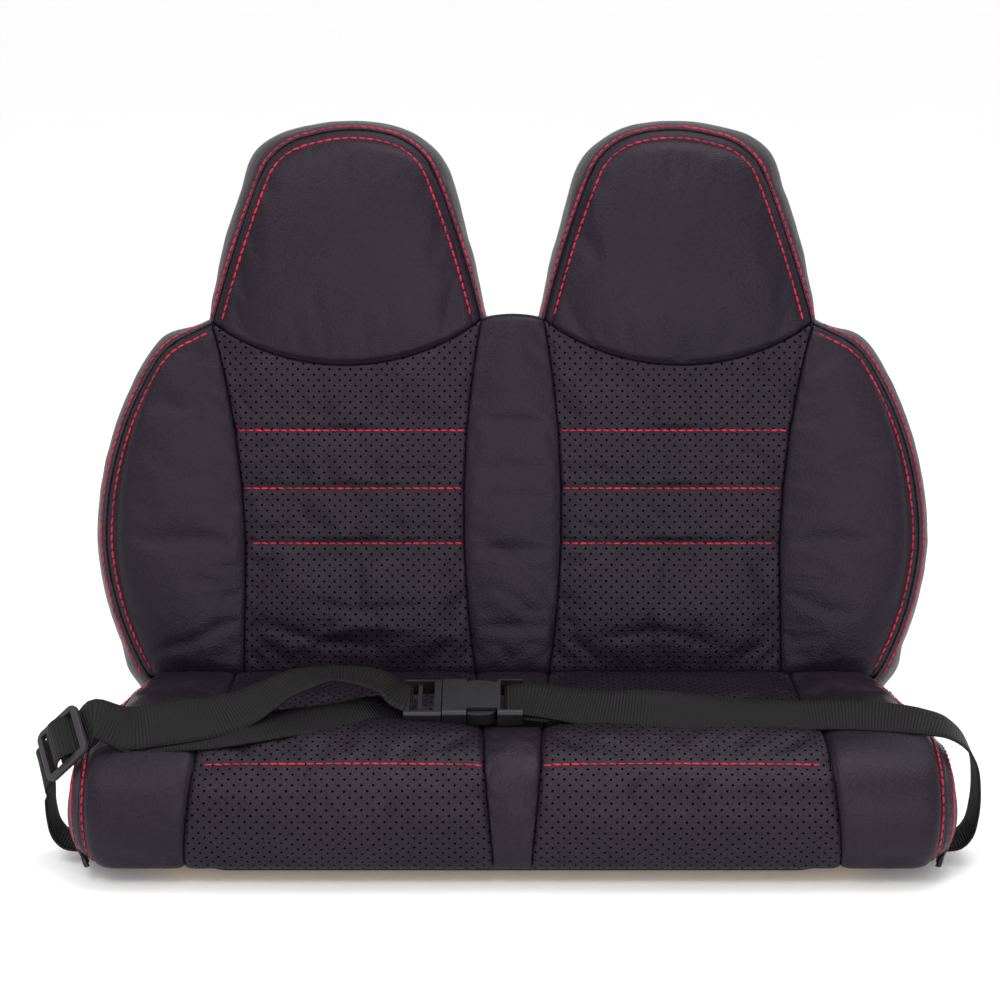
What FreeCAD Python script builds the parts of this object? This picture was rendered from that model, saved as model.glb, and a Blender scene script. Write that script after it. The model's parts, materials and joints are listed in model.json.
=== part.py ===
"""Two-place upholstered bench seat with a lap belt, for a child's ride-on vehicle.

Frame: X to the right in the front view, Y backwards, Z up.
The origin is the centre of the four mounting holes on the underside of the base tray.
"""
import FreeCAD, Part
import math
import os
from FreeCAD import Placement, Rotation, Vector

os.makedirs("parts", exist_ok=True)
doc = FreeCAD.newDocument("bench_seat")

# Driving dimensions in millimetres and degrees.
DIMENSIONS = {
    "crease_y": 62, "crease_z": 84, "back_lean": 12,
    "cover_thick": 3, "soft_gap": 0.3, "wing_crown": 6, "head_crown": 4,
    "gusset_depth": 50, "rear_flare": 8, "back_foot": -54, "cover_foot": -20, "foot_trim": 4,
    "foam_front": 3.6, "foam_rear": 37, "board_front": 42, "board_thick": 8, "board_inset": 12,
    "rear_cover_front": 50.6, "rear_cover_depth": 7, "rear_cover_wall": 3,
    "seat_bottom": 14, "seat_front": -130, "seat_crest": 86,
    "seat_foam_bottom": 21.6, "seat_board_bottom": 12, "seat_board_half": 232,
    "seat_board_front": -112, "seat_board_rear": 104,
    "middle_half": 20, "perforated_outer": 196, "side_outer": 258,
    "tray_half": 200, "tray_half_depth": 95, "tray_tall": 12, "tray_floor": 3, "tray_wall": 5,
    "mount_space_x": 340, "mount_space_y": 120, "mount_hole_rad": 3.25, "boss_rad": 9,
    "screw_rad": 1.9, "screw_hole_rad": 2.2, "screw_head_rad": 4.2, "screw_head_tall": 2.2,
    "tnut_flange_rad": 8, "tnut_flange_tall": 1.2, "tnut_barrel_rad": 3.9,
    "bracket_width": 36, "bracket_thick": 2, "bracket_leg": 26, "bracket_up": 44, "bracket_x": 120,
    "bolt_rad": 2.5, "bolt_hole_rad": 2.75, "bolt_head_rad": 4.5,
    "rod_rad": 1.5, "rod_half": 180, "rod_drop": 40,
    "staple_crown": 10, "staple_wire": 1, "staple_leg": 5,
    "web_width": 30, "web_thick": 1.4, "loop_gap": 0.2,
    "buckle_x": -32, "buckle_y": -46, "buckle_z": 96.3, "buckle_tilt": 16,
    "buckle_half": 20, "buckle_rail": 3.6, "socket_thick": 12, "plug_thick": 10, "bar_rad": 2,
    "anchor_x": 222, "anchor_y": -74, "anchor_hole_rad": 2.7,
    "washer_rad": 8, "washer_thick": 1.2, "anchor_head_rad": 5, "anchor_head_tall": 2.5,
    "glide_x": -284.4, "glide_y": -89.2, "glide_z": 84,
    "glide_long": 37, "glide_wide": 40, "glide_thick": 4, "glide_frame": 4.4,
}

sheet = doc.addObject("Spreadsheet::Sheet", "Dimensions")
for row, (alias, value) in enumerate(DIMENSIONS.items(), start=1):
    sheet.set("A%d" % row, alias)
    sheet.set("B%d" % row, str(value))
    sheet.setAlias("B%d" % row, alias)
doc.recompute()

pieces = []


def dim(alias):
    """A driving dimension read back from the sheet."""
    return float(sheet.get(alias))


def keep(item, label):
    """Give a sub-part its own name and remember it for writing."""
    item.Label = label
    pieces.append(item)
    return item


def feature(label, shape, placement=None):
    """A sub-part whose shape comes straight from Part's own functions."""
    item = doc.addObject("Part::Feature", label)
    item.Shape = shape
    if placement is not None:
        item.Placement = placement
    return keep(item, label)


BACK = Placement(Vector(0, dim("crease_y"), dim("crease_z")),
                 Rotation(Vector(1, 0, 0), -dim("back_lean")))
BUCKLE = Placement(Vector(dim("buckle_x"), dim("buckle_y"), dim("buckle_z")),
                   Rotation(Vector(1, 0, 0), dim("buckle_tilt")))


# ---------------------------------------------------------------- outlines
# An outline is a closed list of spans (start, via); via is None on a straight span.

def mirrored(spans):
    """The same outline on the other side of the middle plane."""
    count = len(spans)
    turned = []
    for index in range(count):
        start, _ = spans[(index + 1) % count]
        via = spans[index][1]
        turned.append(((-start[0], start[1]), None if via is None else (-via[0], via[1])))
    return turned[::-1]


def loop_points(spans):
    """Every defining point round the outline, straight spans given a middle point."""
    points = []
    for index, (start, via) in enumerate(spans):
        end = spans[(index + 1) % len(spans)][0]
        middle = via or ((start[0] + end[0]) / 2, (start[1] + end[1]) / 2)
        points += [start, middle]
    return points


def loop_area(points):
    """Signed area, positive when the outline runs anticlockwise."""
    total = 0
    for (ax, ay), (bx, by) in zip(points, points[1:] + points[:1]):
        total += ax * by - bx * ay
    return total / 2


def moved_line(first, second, amount):
    """A segment moved sideways to its right by amount."""
    dx, dy = second[0] - first[0], second[1] - first[1]
    size = math.hypot(dx, dy)
    nx, ny = dy / size * amount, -dx / size * amount
    return (first[0] + nx, first[1] + ny), (second[0] + nx, second[1] + ny)


def crossing(one, two):
    """Where two segments, prolonged, meet; their shared end when they run in line."""
    (ax, ay), (bx, by) = one
    (cx, cy), (dx, dy) = two
    ux, uy, vx, vy = bx - ax, by - ay, dx - cx, dy - cy
    turn = ux * vy - uy * vx
    if abs(turn) < 0.08 * math.hypot(ux, uy) * math.hypot(vx, vy):
        return ((bx + cx) / 2, (by + cy) / 2)
    along = ((cx - ax) * vy - (cy - ay) * vx) / turn
    return (ax + along * ux, ay + along * uy)


def grown(spans, amount):
    """The outline moved outwards by amount, or inwards when it is negative."""
    points = loop_points(spans)
    amount = amount if loop_area(points) > 0 else -amount
    count = len(points)
    sides = [moved_line(points[k], points[(k + 1) % count], amount) for k in range(count)]
    moved = [crossing(sides[k - 1], sides[k]) for k in range(count)]
    result = []
    for index, (_, via) in enumerate(spans):
        result.append((moved[2 * index], None if via is None else moved[2 * index + 1]))
    return result


def edges(spans, lift=lambda x, y: Vector(x, y, 0)):
    """Part curves round the outline."""
    curves = []
    for index, (start, via) in enumerate(spans):
        end = spans[(index + 1) % len(spans)][0]
        if via is None:
            curves.append(Part.LineSegment(lift(*start), lift(*end)))
        else:
            curves.append(Part.Arc(lift(*start), lift(*via), lift(*end)))
    return curves


def wire(spans, lift):
    """A closed wire round the outline."""
    return Part.Wire([curve.toShape() for curve in edges(spans, lift)])


def prism(spans, lift, direction):
    """The outline extruded to a solid."""
    return Part.Face(wire(spans, lift)).extrude(direction)


# ---------------------------------------------------------------- outlines of the back, (x, v) up the back

WING_INNER_TOP = (207, 238)
WING_INNER_WAIST = (184.5, 74)
VALLEY = (21.5, 240)
FOOT = dim("cover_foot")

WING = [((247, FOOT), (271, 34)), ((281.7, 85), (277, 135)), ((246, 212), (231, 225)),
        (WING_INNER_TOP, (191, 160)), (WING_INNER_WAIST, None), ((186, FOOT), None)]
HEADREST = [(VALLEY, (115, 209)), (WING_INNER_TOP, (192, 288)), ((172, 343), (158, 359)),
            ((138, 367), (110, 371)), ((82, 367), (65, 357)), ((55, 344), (38, 298))]
PERFORATED = [(VALLEY, (30.5, 175)), ((33.5, 110), (31, 45)), ((25, FOOT), None),
              ((186, FOOT), None), (WING_INNER_WAIST, (191, 160)), (WING_INNER_TOP, (115, 209))]
MIDDLE = [((-25, FOOT), None), ((25, FOOT), (31, 45)), ((33.5, 110), (30.5, 175)),
          (VALLEY, (0, 243)), ((-VALLEY[0], VALLEY[1]), (-30.5, 175)), ((-33.5, 110), (-31, 45))]


def silhouette(foot):
    """The whole back seen from the front, down to a straight foot."""
    right = [((243, foot), None), ((247, FOOT), (271, 34)), ((281.7, 85), (277, 135)),
             ((246, 212), (231, 225)), (WING_INNER_TOP, (192, 288)), ((172, 343), (158, 359)),
             ((138, 367), (110, 371)), ((82, 367), (65, 357)), ((55, 344), (38, 298))]
    left = [((-x, y), None) for (x, y), _ in reversed(right)]
    vias = [via for _, via in reversed(right)]
    top = [(VALLEY, (0, 243)), ((-VALLEY[0], VALLEY[1]), (-38, 298))]
    for index, (start, _) in enumerate(left[:-1]):
        via = vias[index + 1]
        top.append((start, None if via is None else (-via[0], via[1])))
    top.append((left[-1][0], None))
    return right + top


# ---------------------------------------------------------------- PartDesign bodies from outlines

def plane(body, role):
    """One of the body's own origin planes."""
    for item in body.Origin.OriginFeatures:
        if item.Role == role:
            return item
    raise ValueError(role)


def sketch_on(body, role, name, offset=0.0):
    """A sketch on an origin plane of its own body, moved along the plane's normal."""
    sketch = body.newObject("Sketcher::SketchObject", name)
    sketch.AttachmentSupport = [(plane(body, role), "")]
    sketch.MapMode = "FlatFace"
    sketch.AttachmentOffset = Placement(Vector(0, 0, offset), Rotation())
    return sketch


def draw(sketch, spans):
    """Draw a closed outline in a sketch."""
    for curve in edges(spans):
        sketch.addGeometry(curve, False)


def draw_circle(sketch, x, y, radius):
    """Draw a circle in a sketch."""
    sketch.addGeometry(Part.Circle(Vector(x, y, 0), Vector(0, 0, 1), radius), False)


def pad(body, sketch, alias, name="Pad", backwards=False):
    """Extrude a sketch by a length from the sheet."""
    item = body.newObject("PartDesign::Pad", name)
    item.Profile = sketch
    item.setExpression("Length", "Dimensions." + alias)
    item.Reversed = backwards
    return item


def cut_through(body, sketch, name, length, backwards=False):
    """Cut a sketch out of the body, and make sure that something was cut."""
    doc.recompute()
    before = body.Shape.Volume
    item = body.newObject("PartDesign::Pocket", name)
    item.Profile = sketch
    item.Length = length
    item.Reversed = backwards
    doc.recompute()
    if body.Shape.Volume > before - 1:
        raise ValueError(body.Label + ": " + name + " cut nothing")
    return item


def flat_panel(label, spans, front, alias):
    """A flat piece of the back: its front face at height front, its thickness from the sheet."""
    body = doc.addObject("PartDesign::Body", label)
    sketch = sketch_on(body, "XZ_Plane", label + "_outline", front)
    draw(sketch, spans)
    pad(body, sketch, alias, backwards=True)
    body.Placement = BACK
    return keep(body, label)


def add_dims(**sums):
    """Extra sheet rows that are sums of driving dimensions."""
    row_number = len(DIMENSIONS) + 1
    for alias, value in sums.items():
        DIMENSIONS[alias] = value
        sheet.set("A%d" % row_number, alias)
        sheet.set("B%d" % row_number, "=" + value)
        sheet.setAlias("B%d" % row_number, alias)
        row_number += 1
    doc.recompute()


add_dims(wing_thick="cover_thick + wing_crown", head_thick="cover_thick + head_crown",
         foam_thick="foam_rear - foam_front")


def sides():
    """The two hands: name and the function that places an outline there."""
    return (("right", lambda spans: spans), ("left", mirrored))


def back_covers():
    """The sewn panels on the front of the back."""
    for hand, place in sides():
        flat_panel("cover_headrest_" + hand, grown(place(HEADREST), -0.3), dim("head_crown"), "head_thick")
        flat_panel("cover_back_perforated_" + hand, grown(place(PERFORATED), -0.3), 0, "cover_thick")
        wing = flat_panel("cover_wing_" + hand, grown(place(WING), -0.3), dim("wing_crown"), "wing_thick")
        tuck = sketch_on(wing, "XZ_Plane", "tuck_" + hand, dim("wing_crown"))
        draw(tuck, place([((150, -30), None), ((300, -30), None), ((300, 1), None), ((150, 1), None)]))
        cut_through(wing, tuck, "TuckNotch", dim("wing_crown"))
    flat_panel("cover_back_middle", grown(MIDDLE, -0.3), 0, "cover_thick")


def back_foams():
    """Foam blocks behind the panels, each glued to the board."""
    foot = dim("back_foot") + 2
    for hand, place in sides():
        block = grown(place(HEADREST), -4)
        flat_panel("headrest_foam_" + hand, block, -dim("foam_front"), "foam_thick")
        bolster = [((237, foot), None), ((241, FOOT), (265.5, 34)), ((276, 85), (271.5, 134)),
                   ((241, 209), (227, 221)), ((206, 232), (194, 160)), ((188, 74), None),
                   ((189, foot), None)]
        flat_panel("wing_foam_" + hand, place(bolster), -dim("foam_front"), "foam_thick")
    block = [((-185, foot), None), ((185, foot), None), ((183, 74), (188, 160)),
             ((200, 226), (115, 204)), ((24, 232), (0, 236)), ((-24, 232), (-115, 204)),
             ((-200, 226), (-188, 160)), ((-183, 74), None)]
    flat_panel("back_foam", block, -dim("foam_front"), "foam_thick")


def on_back(x, v, depth):
    """A point of the leaning frame: depth is measured backwards from the front plane."""
    return Vector(x, depth, v)


def gusset_ring():
    """The side band of the back, from the front seam to the rear edge, flaring backwards."""
    start, end = dim("cover_thick") + dim("soft_gap"), dim("gusset_depth")
    outline = silhouette(dim("back_foot"))
    shells = []
    for inset in (0, -dim("cover_thick")):
        front = wire(grown(outline, inset), lambda x, v: on_back(x, v, start))
        rear = wire(grown(outline, inset + dim("rear_flare")), lambda x, v: on_back(x, v, end))
        shells.append(Part.makeLoft([front, rear], True, True))
    ring = shells[0].cut(shells[1])
    foot = Part.makeBox(800, 200, 40, Vector(-400, -50, dim("back_foot") - 40 + dim("foot_trim")))
    return ring.cut(foot)


def back_gussets():
    """The side band cut at its cross seams into five sewn pieces."""
    ring = gusset_ring()
    tall, wide, gap = 400, 400, dim("soft_gap") / 2
    shoulder, valley_side, valley_top = 236, 30, 275
    low = Part.makeBox(2 * wide, tall, tall, Vector(-wide, -tall / 2, shoulder - gap - tall))
    high = Part.makeBox(2 * wide, tall, tall, Vector(-wide, -tall / 2, shoulder + gap))
    notch = Part.makeBox(2 * valley_side, tall, valley_top - 150, Vector(-valley_side, -tall / 2, 150))
    for hand, sign in (("right", 1), ("left", -1)):
        half = Part.makeBox(wide, tall, 3 * tall, Vector(0 if sign > 0 else -wide, -tall / 2, -tall))
        side = ring.common(half)
        feature("gusset_wing_" + hand, side.common(low).cut(notch).Solids[0], BACK)
        feature("gusset_headrest_" + hand, largest(side.common(high).cut(notch)), BACK)
    inner = Part.makeBox(2 * valley_side - 2 * gap, tall, valley_top - 150 - gap,
                         Vector(-valley_side + gap, -tall / 2, 150))
    feature("gusset_valley", largest(ring.common(inner)), BACK)


def largest(shape):
    """The biggest solid of a shape."""
    return max(shape.Solids, key=lambda solid: solid.Volume)


BRACKET_VS = (-36, -18)
REAR_SCREWS = [(60, 300), (150, 300), (215, 150), (205, 20), (80, 120), (80, -20)]


def rear_screw_places():
    """Both hands of the rear cover's screws."""
    return [(sign * x, v) for x, v in REAR_SCREWS for sign in (1, -1)]


def back_board():
    """Plywood board behind the back foams, drilled for the brackets and the rear cover."""
    outline = grown(silhouette(dim("back_foot")), -dim("board_inset"))
    outline = [((x, max(v, dim("back_foot") + 0.5)), via) for (x, v), via in outline]
    body = doc.addObject("PartDesign::Body", "back_board")
    sketch = sketch_on(body, "XZ_Plane", "board_outline", -dim("board_front"))
    draw(sketch, outline)
    pad(body, sketch, "board_thick", backwards=True)
    holes = sketch_on(body, "XZ_Plane", "board_holes", -dim("board_front"))
    for sign in (1, -1):
        for v in BRACKET_VS:
            draw_circle(holes, sign * dim("bracket_x"), v, dim("bolt_hole_rad"))
    for x, v in rear_screw_places():
        draw_circle(holes, x, v, dim("screw_hole_rad"))
    cut_through(body, holes, "board_drilling", dim("board_thick"))
    body.Placement = BACK
    keep(body, "back_board")


def rear_cover():
    """Thin moulded cover over the back of the board, hollow inside, with screw bosses."""
    front, deep, wall = dim("rear_cover_front"), dim("rear_cover_depth"), dim("rear_cover_wall")
    outline = grown(silhouette(dim("back_foot") + 3), 2)
    shell = prism(outline, lambda x, v: on_back(x, v, front), Vector(0, deep, 0))
    hollow = prism(grown(outline, -wall - 3), lambda x, v: on_back(x, v, front - 1),
                   Vector(0, deep - wall + 1, 0))
    shell = shell.cut(hollow)
    for x, v in rear_screw_places():
        boss = Part.makeCylinder(dim("screw_head_rad") + 1, deep, on_back(x, v, front), Vector(0, 1, 0))
        shell = shell.fuse(boss)
    for x, v in rear_screw_places():
        hole = Part.makeCylinder(dim("screw_hole_rad"), 3 * deep, on_back(x, v, front - deep),
                                 Vector(0, 1, 0))
        sink = Part.makeCylinder(dim("screw_head_rad") + 0.3, deep, on_back(x, v, front + deep - 2.4),
                                 Vector(0, 1, 0))
        shell = shell.cut(hole).cut(sink)
    feature("rear_cover", shell.removeSplitter(), BACK)


def screw(head_rad, head_tall, shank_rad, length):
    """A pan-headed screw along +Z: the head stands from 0 to head_tall, the shank goes below."""
    head = Part.makeCylinder(head_rad, head_tall)
    top = head.Edges[0]
    head = head.makeFillet(head_tall * 0.45, [top])
    shank = Part.makeCylinder(shank_rad, length, Vector(0, 0, -length))
    drive = Part.makeBox(head_rad * 1.1, 0.9, 1.2, Vector(-head_rad * 0.55, -0.45, head_tall - 1))
    cross = Part.makeBox(0.9, head_rad * 1.1, 1.2, Vector(-0.45, -head_rad * 0.55, head_tall - 1))
    return head.fuse(shank).cut(drive).cut(cross)


def placed(shape, point, axis):
    """A copy of a +Z shape standing at point along axis."""
    copy = shape.copy()
    copy.Placement = Placement(point, Rotation(Vector(0, 0, 1), axis))
    return copy


def rear_cover_screws():
    """Screws that hold the rear cover to the board."""
    seat = dim("rear_cover_front") + dim("rear_cover_depth") - 2.4
    one = screw(dim("screw_head_rad"), dim("screw_head_tall"), dim("screw_rad"),
                seat - dim("board_front") - 1)
    group = [placed(one, on_back(x, v, seat), Vector(0, 1, 0)) for x, v in rear_screw_places()]
    feature("rear_cover_screws", Part.makeCompound(group), BACK)


def corner_bracket(hand, sign):
    """Pressed steel angle that ties the back board to the seat board."""
    wide, thick = dim("bracket_width"), dim("bracket_thick")
    left = sign * dim("bracket_x") - wide / 2
    up = Part.makeBox(wide, thick, dim("bracket_up"),
                      Vector(left, dim("board_front") - thick, dim("back_foot") - 2.5))
    up.Placement = BACK.multiply(up.Placement)
    floor_top = dim("seat_board_bottom") + dim("board_thick")
    meet = BACK.multVec(on_back(0, dim("back_foot") - 2.5, dim("board_front") - thick))
    leg = Part.makeBox(wide, dim("bracket_leg"), thick,
                       Vector(left, meet.y - dim("bracket_leg") + thick, floor_top))
    shape = up.fuse(leg)
    for v in BRACKET_VS:
        hole = Part.makeCylinder(dim("bolt_hole_rad"), 20,
                                 on_back(sign * dim("bracket_x"), v, dim("board_front") - 10),
                                 Vector(0, 1, 0))
        hole.Placement = BACK.multiply(hole.Placement)
        shape = shape.cut(hole)
    for x in bracket_screw_xs(sign):
        hole = Part.makeCylinder(dim("screw_hole_rad"), 20, Vector(x, bracket_screw_y(), floor_top - 5))
        shape = shape.cut(hole)
    feature("corner_bracket_" + hand, shape.removeSplitter())


def bracket_screw_xs(sign):
    """Where the screws go through a bracket's foot."""
    return [sign * dim("bracket_x") + step for step in (-10, 10)]


def bracket_screw_y():
    """Distance back of the foot's screws."""
    return 76


def bracket_bolts():
    """Short bolts and nuts through the brackets and the back board."""
    shank = dim("board_thick") + dim("bracket_thick") + 1.8
    bolt = screw(dim("bolt_head_rad"), 2.2, dim("bolt_rad"), shank)
    nut = Part.makePolygon([Vector(4.4 * math.cos(a), 4.4 * math.sin(a), 0)
                            for a in [math.radians(60 * k) for k in range(7)]])
    nut = Part.Face(nut).extrude(Vector(0, 0, 3)).cut(Part.makeCylinder(dim("bolt_rad") + 0.05, 3))
    group = []
    for sign in (1, -1):
        for v in BRACKET_VS:
            head = on_back(sign * dim("bracket_x"), v, dim("board_front") - dim("bracket_thick"))
            tail = on_back(sign * dim("bracket_x"), v, dim("board_front") + dim("board_thick"))
            group.append(placed(bolt, head, Vector(0, -1, 0)))
            group.append(placed(nut, tail, Vector(0, 1, 0)))
    feature("bracket_bolts", Part.makeCompound(group), BACK)


def bracket_screws():
    """Wood screws that hold the brackets' feet to the seat board."""
    top = dim("seat_board_bottom") + dim("board_thick") + dim("bracket_thick")
    one = screw(dim("screw_head_rad"), dim("screw_head_tall"), dim("screw_rad"), dim("board_thick"))
    group = [placed(one, Vector(x, bracket_screw_y(), top), Vector(0, 0, 1))
             for sign in (1, -1) for x in bracket_screw_xs(sign)]
    feature("bracket_screws", Part.makeCompound(group))


# ---------------------------------------------------------------- seat cushion

SEAT_PLAN = [((250, 80), (266, 27)), ((276, -30), (277.5, -80)), ((266, -122), (261, -129)),
             ((250, -132), None), ((-250, -132), (-261, -129)), ((-266, -122), (-277.5, -80)),
             ((-276, -30), (-266, 27)), ((-250, 80), None)]
SEAT_FRONT_VIEW = [((-262, 0), None), ((262, 0), (276, 28)), ((278, 50), None), ((278, 62), (271, 79)),
                   ((254, 87), None), ((-254, 87), (-271, 79)), ((-278, 62), None), ((-278, 50), (-276, 28))]


def seat_profile(bottom):
    """Side view of the cushion as (y, z): hollow behind, a crest, and a rolled front edge."""
    lean = math.tan(math.radians(dim("back_lean")))
    rear_top = (dim("crease_y") - 0.6, dim("crease_z"))
    rear_low = (rear_top[0] - (rear_top[1] - bottom) * lean, bottom)
    return [(rear_low, None), (rear_top, (2, 80)), ((-58, 84), (-84, dim("seat_crest"))),
            ((-104, 82), (-124, 66)), ((dim("seat_front"), 44), (-127, 27)), ((-119, bottom), None)]


def cushion(inset, bottom):
    """The cushion's whole form, as the space common to its three outlines."""
    side = grown(seat_profile(bottom), -inset) if inset else seat_profile(bottom)
    side = [((y, bottom if z < bottom + inset + 0.01 else z), via) for (y, z), via in side]
    along = prism(side, lambda y, z: Vector(-300, y, z), Vector(600, 0, 0))
    plan = prism(grown(SEAT_PLAN, -inset) if inset else SEAT_PLAN,
                 lambda x, y: Vector(x, y, -10), Vector(0, 0, 120))
    view = prism(grown(SEAT_FRONT_VIEW, -inset) if inset else SEAT_FRONT_VIEW,
                 lambda x, z: Vector(x, -200, z), Vector(0, 400, 0))
    return along.common(plan).common(view)


def seat_pieces():
    """Foam cushion and the sewn panels over its top, front and sides."""
    bottom = dim("seat_bottom")
    inner = cushion(dim("cover_thick") + dim("soft_gap"), bottom - 6)
    skin = cushion(0, bottom).cut(cushion(dim("cover_thick"), bottom - 6))
    floor = Part.makeBox(700, 400, dim("seat_foam_bottom"), Vector(-350, -200, 0))
    reach, front = dim("seat_board_half") + dim("soft_gap"), dim("seat_board_front") - dim("soft_gap")
    top = dim("seat_board_bottom") + dim("board_thick") + dim("soft_gap")
    skin = skin.cut(box(-reach, reach, front, 120, 0, top))
    feature("seat_foam", largest(inner.cut(floor)))
    gap = dim("soft_gap") / 2
    cuts = (("cover_seat_perforated", dim("middle_half"), dim("perforated_outer")),
            ("cover_seat_side", dim("perforated_outer"), dim("side_outer")),
            ("cover_seat_gusset", dim("side_outer"), 300))
    for name, low, high in cuts:
        slab = Part.makeBox(high - low - 2 * gap, 400, 200, Vector(low + gap, -200, -20))
        feature(name + "_right", largest(skin.common(slab)))
        slab = Part.makeBox(high - low - 2 * gap, 400, 200, Vector(-high + gap, -200, -20))
        feature(name + "_left", largest(skin.common(slab)))
    half = dim("middle_half") - gap
    slab = Part.makeBox(2 * half, 400, 200, Vector(-half, -200, -20))
    feature("cover_seat_middle", largest(skin.common(slab)))


def mount_places():
    """The four mounting holes about the origin."""
    half_x, half_y = dim("mount_space_x") / 2, dim("mount_space_y") / 2
    return [(sx * half_x, sy * half_y) for sx in (1, -1) for sy in (1, -1)]


def tray_screw_places():
    """Screws between the tray and the seat board."""
    return [(sx * 110, sy * 80) for sx in (1, -1) for sy in (1, -1)] + [(185, 0), (-185, 0)]


def seat_board():
    """Plywood board under the cushion and the back."""
    half = dim("seat_board_half")
    outline = [((-half, dim("seat_board_rear")), None), ((-half, -80), (-226, -101)),
               ((-205, dim("seat_board_front")), None), ((205, dim("seat_board_front")), (226, -101)),
               ((half, -80), None), ((half, dim("seat_board_rear")), None)]
    body = doc.addObject("PartDesign::Body", "seat_board")
    sketch = sketch_on(body, "XY_Plane", "seat_board_outline", dim("seat_board_bottom"))
    draw(sketch, outline)
    pad(body, sketch, "board_thick")
    holes = sketch_on(body, "XY_Plane", "seat_board_holes", dim("seat_board_bottom") + dim("board_thick"))
    for x, y in mount_places():
        draw_circle(holes, x, y, dim("tnut_barrel_rad") + 0.1)
    small = tray_screw_places() + [(x, bracket_screw_y()) for sign in (1, -1) for x in bracket_screw_xs(sign)]
    for x, y in small:
        draw_circle(holes, x, y, dim("screw_hole_rad"))
    for sign in (1, -1):
        draw_circle(holes, sign * dim("anchor_x"), dim("anchor_y"), dim("anchor_hole_rad"))
    cut_through(body, holes, "seat_board_drilling", dim("board_thick"))
    keep(body, "seat_board")


def rounded_box(half_x, half_y, corner):
    """A rectangle about the origin with round corners."""
    bend = corner * (1 - math.sqrt(0.5))
    ix, iy = half_x - corner, half_y - corner
    return [((-ix, -half_y), None), ((ix, -half_y), (half_x - bend, -half_y + bend)),
            ((half_x, -iy), None), ((half_x, iy), (half_x - bend, half_y - bend)),
            ((ix, half_y), None), ((-ix, half_y), (-half_x + bend, half_y - bend)),
            ((-half_x, iy), None), ((-half_x, -iy), (-half_x + bend, -half_y + bend))]


def base_tray():
    """Moulded tray under the seat: flat floor, rim, ribs and screw bosses."""
    body = doc.addObject("PartDesign::Body", "base_tray")
    sketch = sketch_on(body, "XY_Plane", "tray_outline")
    draw(sketch, rounded_box(dim("tray_half"), dim("tray_half_depth"), 20))
    pad(body, sketch, "tray_tall", "TrayBlock")
    well = sketch_on(body, "XY_Plane", "tray_well", dim("tray_tall"))
    ribs = (-120, -40, 40, 120)
    left = -dim("tray_half") + dim("tray_wall")
    deep = dim("tray_half_depth") - dim("tray_wall")
    for rib in ribs + (dim("tray_half") - dim("tray_wall") + 1.5,):
        right = rib - 1.5
        draw(well, [((left, -deep), None), ((right, -deep), None), ((right, deep), None),
                    ((left, deep), None)])
        left = rib + 1.5
    cut_through(body, well, "TrayWell", dim("tray_tall") - dim("tray_floor"))
    bosses = sketch_on(body, "XY_Plane", "tray_bosses", dim("tray_floor"))
    for x, y in mount_places():
        draw_circle(bosses, x, y, dim("boss_rad"))
    for x, y in tray_screw_places()[:4]:
        draw_circle(bosses, x, y, 7)
    boss = body.newObject("PartDesign::Pad", "TrayBosses")
    boss.Profile = bosses
    boss.setExpression("Length", "Dimensions.tray_tall - Dimensions.tray_floor")
    holes = sketch_on(body, "XY_Plane", "tray_holes", dim("tray_tall"))
    for x, y in mount_places():
        draw_circle(holes, x, y, dim("mount_hole_rad"))
    for x, y in tray_screw_places()[:4]:
        draw_circle(holes, x, y, dim("screw_hole_rad"))
    cut_through(body, holes, "TrayDrilling", dim("tray_tall"))
    sinks = sketch_on(body, "XY_Plane", "tray_sinks")
    for x, y in tray_screw_places()[:4]:
        draw_circle(sinks, x, y, dim("screw_head_rad") + 0.4)
    cut_through(body, sinks, "TraySinks", 3, backwards=True)
    keep(body, "base_tray")


def tray_screws():
    """Screws from below that hold the tray to the seat board."""
    one = screw(dim("screw_head_rad"), dim("screw_head_tall"), dim("screw_rad"), 15)
    group = [placed(one, Vector(x, y, 3), Vector(0, 0, -1)) for x, y in tray_screw_places()[:4]]
    feature("tray_screws", Part.makeCompound(group))


def tee_nuts():
    """Pronged insert nuts in the seat board, over the tray's mounting holes."""
    low, thick = dim("seat_board_bottom"), dim("board_thick")
    group = []
    for x, y in mount_places():
        barrel = Part.makeCylinder(dim("tnut_barrel_rad"), thick, Vector(x, y, low))
        flange = Part.makeCylinder(dim("tnut_flange_rad"), dim("tnut_flange_tall"), Vector(x, y, low + thick))
        bore = Part.makeCylinder(dim("mount_hole_rad"), 30, Vector(x, y, low - 5))
        group.append(barrel.fuse(flange).cut(bore))
    feature("tee_nuts", Part.makeCompound(group))


def listing_rod():
    """Steel rod in the crease that pulls the covers down."""
    rod = Part.makeCylinder(dim("rod_rad"), 2 * dim("rod_half"),
                            on_back(-dim("rod_half"), -dim("rod_drop"), 1.8), Vector(1, 0, 0))
    feature("listing_rod", rod, BACK)


def cover_staples():
    """Staples under the seat board that hold the covers' turned-in edges."""
    wire_size, crown, leg = dim("staple_wire"), dim("staple_crown"), dim("staple_leg")
    top = dim("seat_board_bottom")
    bridge = Part.makeBox(crown, wire_size, 0.7, Vector(-crown / 2, -wire_size / 2, -0.7))
    legs = [Part.makeBox(wire_size, wire_size, leg, Vector(side, -wire_size / 2, -0.1))
            for side in (-crown / 2, crown / 2 - wire_size)]
    staple = bridge.fuse(legs[0]).fuse(legs[1]).removeSplitter()
    group = []
    for x in range(-180, 181, 45):
        for y in (-105, 98):
            copy = staple.copy()
            copy.Placement = Placement(Vector(x, y, top), Rotation())
            group.append(copy)
    feature("cover_staples", Part.makeCompound(group))


# ---------------------------------------------------------------- lap belt

def tilted(angle):
    """Width direction of webbing whose rear edge is lifted by angle."""
    turn = math.radians(angle)
    return Vector(0, -math.cos(turn), -math.sin(turn))


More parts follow.
